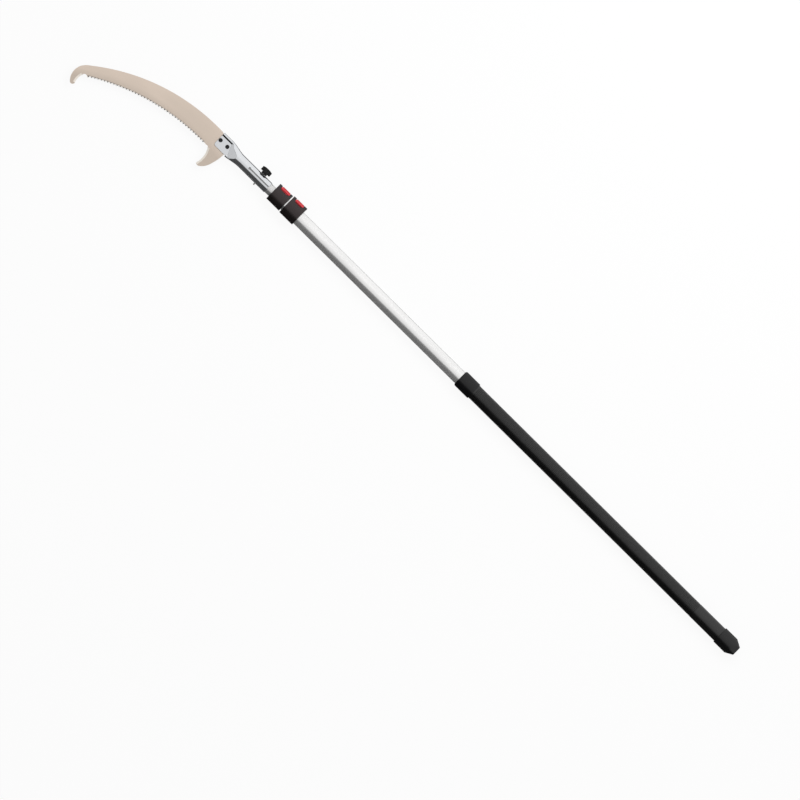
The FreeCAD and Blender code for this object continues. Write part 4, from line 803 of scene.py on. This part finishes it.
@dataclass
class Grip(SubAssembly):
    """Butt cap, ribbed rubber sleeve and the ring above it.

    profile holds the stages of one rib, each as its share of the pitch and of the groove's depth.
    """

    start: float = 0.066
    end: float = 1.035
    half_width: float = 0.0231
    half_height: float = 0.01825
    nose: float = 0.01535
    wall: float = 0.00195
    arc_steps: int = 9
    pitch: float = 0.0045
    groove: float = 0.0007
    first_rib: float = 0.161
    last_rib: float = 1.029
    profile: tuple[Pair, ...] = ((0.0, 0.0), (0.52, 0.0), (0.66, 1.0), (0.86, 1.0))
    top: RoundTop = RoundTop(
        middle=0.0, half_width=0.026, half_height=0.0205, corner=0.014, arc=0.030, side=0.004, bore=OUTER_TUBE
    )

    def build(self) -> None:
        """Make the cap, the sleeve and the ring."""
        for node, name, finish, slot in (
            ("end_cap", "arched_butt_cap", Finish.CAP, "cap_rubber"),
            ("grip_sleeve", "ribbed_sleeve", Finish.RUBBER, "grip_rubber"),
            ("grip_collar", "arched_grip_ring", Finish.RING, "collar_plastic"),
        ):
            if node == "grip_sleeve":
                shape = self.sleeve()
            else:
                shape = merged_copy(self.nodes[node])
                self.top.form(shape)
            self.make_piece(shape, name, finish, "outer_pole", node, slot)

    def outline(self) -> bmesh.types.BMesh:
        """The sleeve's oval of four arcs, as a closed loop at its first rib.

        Returns:
            A bmesh with the loop alone.
        """
        across = self.half_width - self.nose
        side = (across**2 + self.half_height**2 - self.nose**2) / (2 * (self.half_height - self.nose))
        turn = math.atan2(side - self.half_height, across)
        loop = bmesh.new()
        corner = loop.verts.new((self.first_rib, self.half_width, 0.0))
        centres = ((across, 0.0, turn), (0.0, self.half_height - side, math.pi / 2 - turn))
        for y, z, angle in centres:
            arc = bmesh.ops.spin(
                loop,
                geom=[corner],
                cent=(self.first_rib, y, z),
                axis=(1, 0, 0),
                angle=angle,
                steps=self.arc_steps,
                use_duplicate=False,
            )
            corner = corners_in(arc["geom_last"])[0]
        for axis in ("Y", "Z"):
            bmesh.ops.mirror(loop, geom=loop.verts[:] + loop.edges[:], axis=axis, merge_dist=WELD)
        bmesh.ops.remove_doubles(loop, verts=loop.verts, dist=WELD)
        return loop

    def sleeve(self) -> bmesh.types.BMesh:
        """The rubber sleeve: plain by the cap, then ribbed across the pole.

        Returns:
            A closed bmesh.
        """
        shape = self.outline()
        stages = len(self.profile)
        step = self.pitch / stages
        stretch(shape, Vector((step, 0, 0)), stages)
        for vert in shape.verts:
            rib, stage = divmod(round((vert.co.x - self.first_rib) / step), stages)
            phase, depth = self.profile[stage]
            vert.co.x = self.first_rib + (rib + phase) * self.pitch
            self.shrink(vert, self.groove * depth)
        made, ribs = 1, round((self.last_rib - self.first_rib) / self.pitch)
        while made < ribs:
            more = min(made, ribs - made)
            end = self.first_rib + more * self.pitch
            pattern = [face for face in shape.faces if face.calc_center_median().x < end]
            copy = bmesh.ops.duplicate(shape, geom=pattern)["geom"]
            bmesh.ops.translate(shape, verts=corners_in(copy), vec=(made * self.pitch, 0, 0))
            made += more
        bmesh.ops.remove_doubles(shape, verts=shape.verts, dist=WELD)
        middle = (self.start + self.end) / 2
        for vert in self.extrude_rims(shape):
            vert.co.x = self.start if vert.co.x < middle else self.end
        for vert in self.extrude_rims(shape):
            self.shrink(vert, self.wall)
        bmesh.ops.bridge_loops(shape, edges=open_edges(shape))
        bmesh.ops.recalc_face_normals(shape, faces=shape.faces)
        return shape

    def shrink(self, vert: bmesh.types.BMVert, depth: float) -> None:
        """Move a corner of the sleeve's surface inwards.

        Args:
            vert: The corner.
            depth: How far.
        """
        vert.co.y *= 1 - depth / self.half_width
        vert.co.z *= 1 - depth / self.half_height

    @staticmethod
    def extrude_rims(shape: bmesh.types.BMesh) -> list[bmesh.types.BMVert]:
        """Extrude the open rims of a tube in place.

        Args:
            shape: The tube.

        Returns:
            The new rims' corners.
        """
        return corners_in(bmesh.ops.extrude_edge_only(shape, edges=open_edges(shape))["geom"])


@dataclass
class Clamp(SubAssembly):
    """A clamp collar with its flip lever, bush, pin and rivets.

    The lips that hang over the lever reach past its end by lip_end, back into the collar by lip_root, and
    stop lip_sink short of the collar's broad face. At the lever's free corner they are deeper, by
    corner_share. The lever's foot slopes from knee on, is never lower than foot over the lug, and eases in
    at ease times the share of the height.
    """

    side: str
    pole: str
    lever_body: str
    top: RoundTop
    knee: float = 0.0068
    slope: float = 1.1
    foot: float = 0.0004
    ease: float = 3.0
    lip: float = 0.0034
    lip_gap: float = 0.0004
    lip_end: float = 0.001
    lip_root: float = 0.0012
    lip_sink: float = 0.0002
    corner: float = 0.0034
    corner_share: float = 1.9

    def build(self) -> None:
        """Make the arched housing and lever, and dress the rest."""
        parts = (("collar", Finish.COLLAR, self.pole), ("lever", Finish.LEVER, self.lever_body))
        for part, finish, body in parts:
            node = f"{self.side}_{part}"
            shape = merged_copy(self.nodes[node])
            if part == "collar":
                self.add_lips(shape)
            self.top.form(shape)
            if part == "lever":
                self.slope_foot(shape)
            self.make_piece(shape, f"arched_{node}", finish, body, node, f"{part}_plastic")
        self.dress(Finish.GUIDE, f"{self.side}_bush")
        self.dress(Finish.STEEL, f"{self.side}_lever_pin")
        self.dress(Finish.RIVET, f"{self.side}_collar_rivets")

    def add_lips(self, shape: bmesh.types.BMesh) -> None:
        """Hang lips over the lever's foot and its free corner, clear of the space that it swings in.

        Args:
            shape: The housing, still flat on its broad faces.
        """
        low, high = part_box(f"{self.side}_lever")
        whole = (high.x + self.lip_end, self.lip)
        free_corner = (low.x + self.corner, self.lip * self.corner_share)
        for far, depth in (whole, free_corner):
            start = Vector((low.x - self.lip_end, high.y - depth, high.z + self.lip_gap))
            end = Vector((far, high.y + self.lip_root, self.top.half_height - self.lip_sink))
            middle = (start + end) / 2
            for side in (-1, 1):
                lip = bmesh.ops.create_cube(shape, size=1.0)["verts"]
                bmesh.ops.scale(shape, vec=end - start, verts=lip)
                bmesh.ops.translate(shape, vec=(middle.x, middle.y, middle.z * side), verts=lip)

    def slope_foot(self, shape: bmesh.types.BMesh) -> None:
        """Slope a lever's broad faces down towards the collar, clear of the lug between its cheeks.

        Args:
            shape: The lever.
        """
        knee = min(vert.co.y for vert in shape.verts) + self.knee
        lowest = self.top.inside + self.foot
        for vert in shape.verts:
            past, height = vert.co.y - knee, abs(vert.co.z)
            if past > 0 and height > lowest:
                share = (height - self.top.inside) / (self.top.round_height(0.0) - self.top.inside)
                drop = past * self.slope * min(1.0, share * self.ease)
                vert.co.z = math.copysign(max(lowest, height - drop), vert.co.z)


@dataclass
class SawHead(SubAssembly):
    """Pressed head with its clamp knob, screw, insert and the two blade bolts."""

    screw_x: float = 1.8821
    screw_ends: Pair = (-0.0295, 0.0226)
    screw_radius: float = 0.0025
    screw_facets: int = 20
    thread_pitch: float = 0.0008
    thread_depth: float = 0.0004
    point: float = 0.0008

    def build(self) -> None:
        """Make the threaded screw, and dress the head and its hardware."""
        self.dress(Finish.CHROME, "blade_head")
        self.make_piece(self.screw(), "threaded_screw", Finish.STEEL, "screw", "clamp_screw", "pin_steel")
        self.dress(Finish.BRASS, "clamp_nut")
        self.dress(Finish.KNOB, "clamp_knob")
        self.dress(Finish.BOLT, "blade_bolts", "blade_nuts")

    def screw(self) -> bmesh.types.BMesh:
        """The clamp screw: a rod with ridges along it and a chamfer at each end.

        Returns:
            A closed bmesh.
        """
        start, end = self.screw_ends
        steps = 2 * round((end - start) / self.thread_pitch)
        step = (end - start) / steps
        rod = bmesh.new()
        bmesh.ops.create_circle(rod, cap_ends=False, segments=self.screw_facets, radius=self.screw_radius)
        turn = Matrix.Translation((self.screw_x, start, 0.0)) @ Matrix.Rotation(math.radians(90), 4, "X")
        bmesh.ops.transform(rod, matrix=turn, verts=rod.verts)
        stretch(rod, Vector((0, step, 0)), steps)
        for vert in rod.verts:
            ring = round((vert.co.y - start) / step)
            near_end = min(vert.co.y - start, end - vert.co.y)
            radius = min(self.screw_radius, self.screw_radius - self.point + near_end)
            if ring % 2:
                radius -= self.thread_depth * min(1.0, near_end / self.point)
            share = radius / self.screw_radius
            vert.co.x = self.screw_x + (vert.co.x - self.screw_x) * share
            vert.co.z *= share
        bmesh.ops.holes_fill(rod, edges=open_edges(rod), sides=0)
        bmesh.ops.recalc_face_normals(rod, faces=rod.faces)
        return rod


@dataclass
class Blade(SubAssembly):
    """Curved toothed blade with a heel hook and a pruning hook."""

    def build(self) -> None:
        """Dress the blade."""
        self.dress(Finish.BLADE, "blade")


# ---------------------------------------------------------------- studio


def matt(name: str, grey: float) -> Shader:
    """A matt grey surface.

    Args:
        name: The material's name.
        grey: Its grey, from 0 to 1.

    Returns:
        The material's shader.
    """
    shader = Shader(name)
    shader.set(base_color=(grey, grey, grey, 1.0), roughness=1.0, specular_ior_level=0.0)
    return shader


def sheet(name: str, reach: Vector, middle: Vector) -> bpy.types.Mesh:
    """A flat rectangle.

    Args:
        name: The mesh's name.
        reach: Its whole size along each axis, with 1 for its thickness.
        middle: Where its middle lies.

    Returns:
        The mesh.
    """
    shape = bmesh.new()
    bmesh.ops.create_grid(shape, x_segments=1, y_segments=1, size=0.5)
    bmesh.ops.scale(shape, vec=reach, verts=shape.verts)
    bmesh.ops.translate(shape, vec=middle, verts=shape.verts)
    mesh = bpy.data.meshes.new(name)
    shape.to_mesh(mesh)
    shape.free()
    return mesh


@dataclass(frozen=True)
class Card:
    """A grey card flat on the floor that only gloss shows."""

    name: str
    along: Pair
    across: Pair
    grey: float
    sink: float = 1e-4

    def build(self, floor_z: float) -> None:
        """Lay the card.

        Args:
            floor_z: Height of the floor.
        """
        reach = Vector((self.along[1] - self.along[0], self.across[1] - self.across[0], 1.0))
        middle = Vector((sum(self.along) / 2, sum(self.across) / 2, floor_z - self.sink))
        mesh = sheet(self.name, reach, middle)
        mesh.materials.append(matt(self.name, self.grey).material)
        item = add_object(self.name, mesh)
        item.visible_camera = item.visible_diffuse = item.visible_shadow = False
        item.visible_transmission = item.visible_volume_scatter = False
        item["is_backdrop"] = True


@dataclass
class Studio:
    """Floor, light and camera round the saw.

    sky and sky_end are the greys that gloss sees across and along the pole, each as places from 0 to 1 and
    the grey there. clip is the nearest and farthest that the camera sees, in shares of its distance.
    """

    floor_z: float
    floor_size: float = 80.0
    floor_sink: float = 2e-4
    floor_grey: float = 0.9
    centre: Pair = (1.1654, 0.1626)
    field: float = 2.2418
    lens: float = 400.0
    sensor: float = 36.0
    clip: Pair = (0.2, 3.0)
    roll: float = math.radians(44.7)
    paper_share: float = 0.92
    ambient: float = 0.5
    key_power: float = 55.0
    key_size: Pair = (3.0, 1.6)
    key_place: Triple = (0.0, -1.9, 2.2)
    sky: tuple[Pair, ...] = ((0.0, 1.0), (0.32, 1.0), (0.50, 0.84), (0.66, 0.80), (0.735, 0.045), (1.0, 0.045))
    sky_end: tuple[Pair, ...] = ((0.0, 1.0), (0.68, 1.0), (0.79, 0.87), (1.0, 0.4))
    cards: tuple[Card, ...] = (
        Card("card_teeth_side", (-2.0, 5.0), (0.031, 3.0), 0.08),
        # card_back_side is painted shadow: a dark strip that stands for the floor's shade along the spine
        # edge, seen only in gloss.
        Card("card_back_side", (-2.0, 1.84), (-0.045, -0.030), 0.2),
        Card("card_behind_head", (1.84, 2.06), (-0.14, -0.022), 0.05),
    )

    def build(self) -> None:
        """Make everything that isn't the saw."""
        self.make_camera()
        self.make_floor()
        self.make_world()
        self.make_lamp()
        for card in self.cards:
            card.build(self.floor_z)

    def make_camera(self) -> None:
        """A long lens straight above the saw, turned so that the pole runs corner to corner."""
        data = bpy.data.cameras.new("camera")
        data.lens, data.sensor_width = self.lens, self.sensor
        distance = self.field * self.lens / self.sensor
        data.clip_start, data.clip_end = (distance * share for share in self.clip)
        camera = add_object("camera", data)
        right = Vector((-math.sin(math.pi / 2 - self.roll), -math.sin(self.roll), 0.0))
        up = Vector((-right.y, right.x, 0.0))
        turn = Matrix((right, up, Vector((0, 0, 1)))).transposed().to_4x4()
        camera.matrix_world = Matrix.Translation((*self.centre, distance)) @ turn
        bpy.context.scene.camera = camera

    def make_floor(self) -> None:
        """A pale floor that keeps a soft shadow."""
        mesh = sheet("floor", Vector((self.floor_size, self.floor_size, 1.0)), Vector())
        mesh.materials.append(self.floor_material())
        floor = add_object("floor", mesh)
        floor.location = (*self.centre, self.floor_z - self.floor_sink)
        floor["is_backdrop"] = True

    def floor_material(self) -> bpy.types.Material:
        """White paper: mostly its own white to the eye and to gloss, with the shadow left in."""
        shader = matt("paper_floor", self.floor_grey)
        path = shader.node("ShaderNodeLightPath")
        seen = shader.math("MAXIMUM", path.outputs["Is Camera Ray"], path.outputs["Is Glossy Ray"])
        white = shader.node("ShaderNodeEmission")
        shader.feed((1, 1, 1, 1), white.inputs["Color"])
        mix = shader.node("ShaderNodeMixShader")
        shader.feed(shader.math("MULTIPLY", seen, self.paper_share), mix.inputs["Fac"])
        shader.feed(shader.surface.outputs[0], mix.inputs[1])
        shader.feed(white.outputs[0], mix.inputs[2])
        shader.feed(mix.outputs[0], shader.tree.nodes["Material Output"].inputs["Surface"])
        return shader.material

    def make_world(self) -> None:
        """A white studio: even for matt surfaces, with a dark side for gloss to show."""
        world = bpy.data.worlds.new("studio")
        bpy.context.scene.world = world
        world.use_nodes = True
        graph = Graph(world.node_tree)
        path = graph.node("ShaderNodeLightPath")
        direction = graph.axes("Generated")
        across = self.ramp(graph, direction.outputs["Y"], self.sky)
        along = self.ramp(graph, direction.outputs["X"], self.sky_end)
        shown = graph.mix(1.0, across, along, "MULTIPLY")
        lit = graph.mix(path.outputs["Is Glossy Ray"], (self.ambient,) * 3, shown)
        background = world.node_tree.nodes["Background"]
        white = (1.0, 1.0, 1.0)
        graph.feed(graph.mix(path.outputs["Is Camera Ray"], lit, white), background.inputs["Color"])
        graph.feed(1.0, background.inputs["Strength"])

    @staticmethod
    def ramp(graph: Graph, source: Socket, stops: tuple[Pair, ...]) -> Socket:
        """A grey ramp over one axis of direction.

        Args:
            graph: The world's nodes.
            source: The axis, from -1 to 1.
            stops: Places from 0 to 1 and the grey at each.

        Returns:
            The grey.
        """
        ramp = graph.node("ShaderNodeValToRGB")
        marks = ramp.color_ramp.elements
        while len(marks) < len(stops):
            marks.new(0.5)
        for mark, (place, grey) in zip(marks, stops):
            mark.position, mark.color = place, (grey, grey, grey, 1)
        graph.feed(graph.math("MULTIPLY_ADD", source, 0.5, 0.5), ramp.inputs["Fac"])
        return ramp.outputs[0]

    def make_lamp(self) -> None:
        """One broad soft lamp from the back of the blade."""
        data = bpy.data.lights.new("softbox", "AREA")
        data.shape, data.energy = "RECTANGLE", self.key_power
        data.size, data.size_y = self.key_size
        lamp = add_object("softbox", data)
        aim = Vector((self.centre[0], 0.0, 0.0))
        lamp.location = aim + Vector(self.key_place)
        lamp.rotation_euler = (aim - lamp.location).to_track_quat("-Z", "Y").to_euler()
        lamp.visible_glossy = False


def main() -> None:
    """Load the frame, build and dress the saw, and light it."""
    logging.basicConfig(level=logging.INFO, format="%(message)s")
    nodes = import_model()["nodes"]
    cad_low, cad_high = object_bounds()
    bpy.context.scene.view_settings.view_transform = "Standard"
    Studio(floor_z=cad_low.z).build()
    lower = RoundTop(
        middle=-0.00465,
        half_width=0.03095,
        half_height=0.0205,
        corner=0.013,
        arc=0.048,
        side=0.0075,
        bore=OUTER_TUBE,
        inside=LUG_REACH,
    )
    upper = RoundTop(
        middle=-0.0041,
        half_width=0.0287,
        half_height=0.0185,
        corner=0.013,
        arc=0.045,
        side=0.0055,
        bore=MIDDLE_TUBE,
        inside=LUG_REACH,
    )
    for group in (
        Tubes(nodes),
        Grip(nodes),
        Clamp(nodes, "lower", "outer_pole", "lower_flip_lever", lower),
        Clamp(nodes, "upper", "middle_pole", "upper_flip_lever", upper),
        SawHead(nodes),
        Blade(nodes),
    ):
        group.build()


if __name__ == "__main__":
    main()
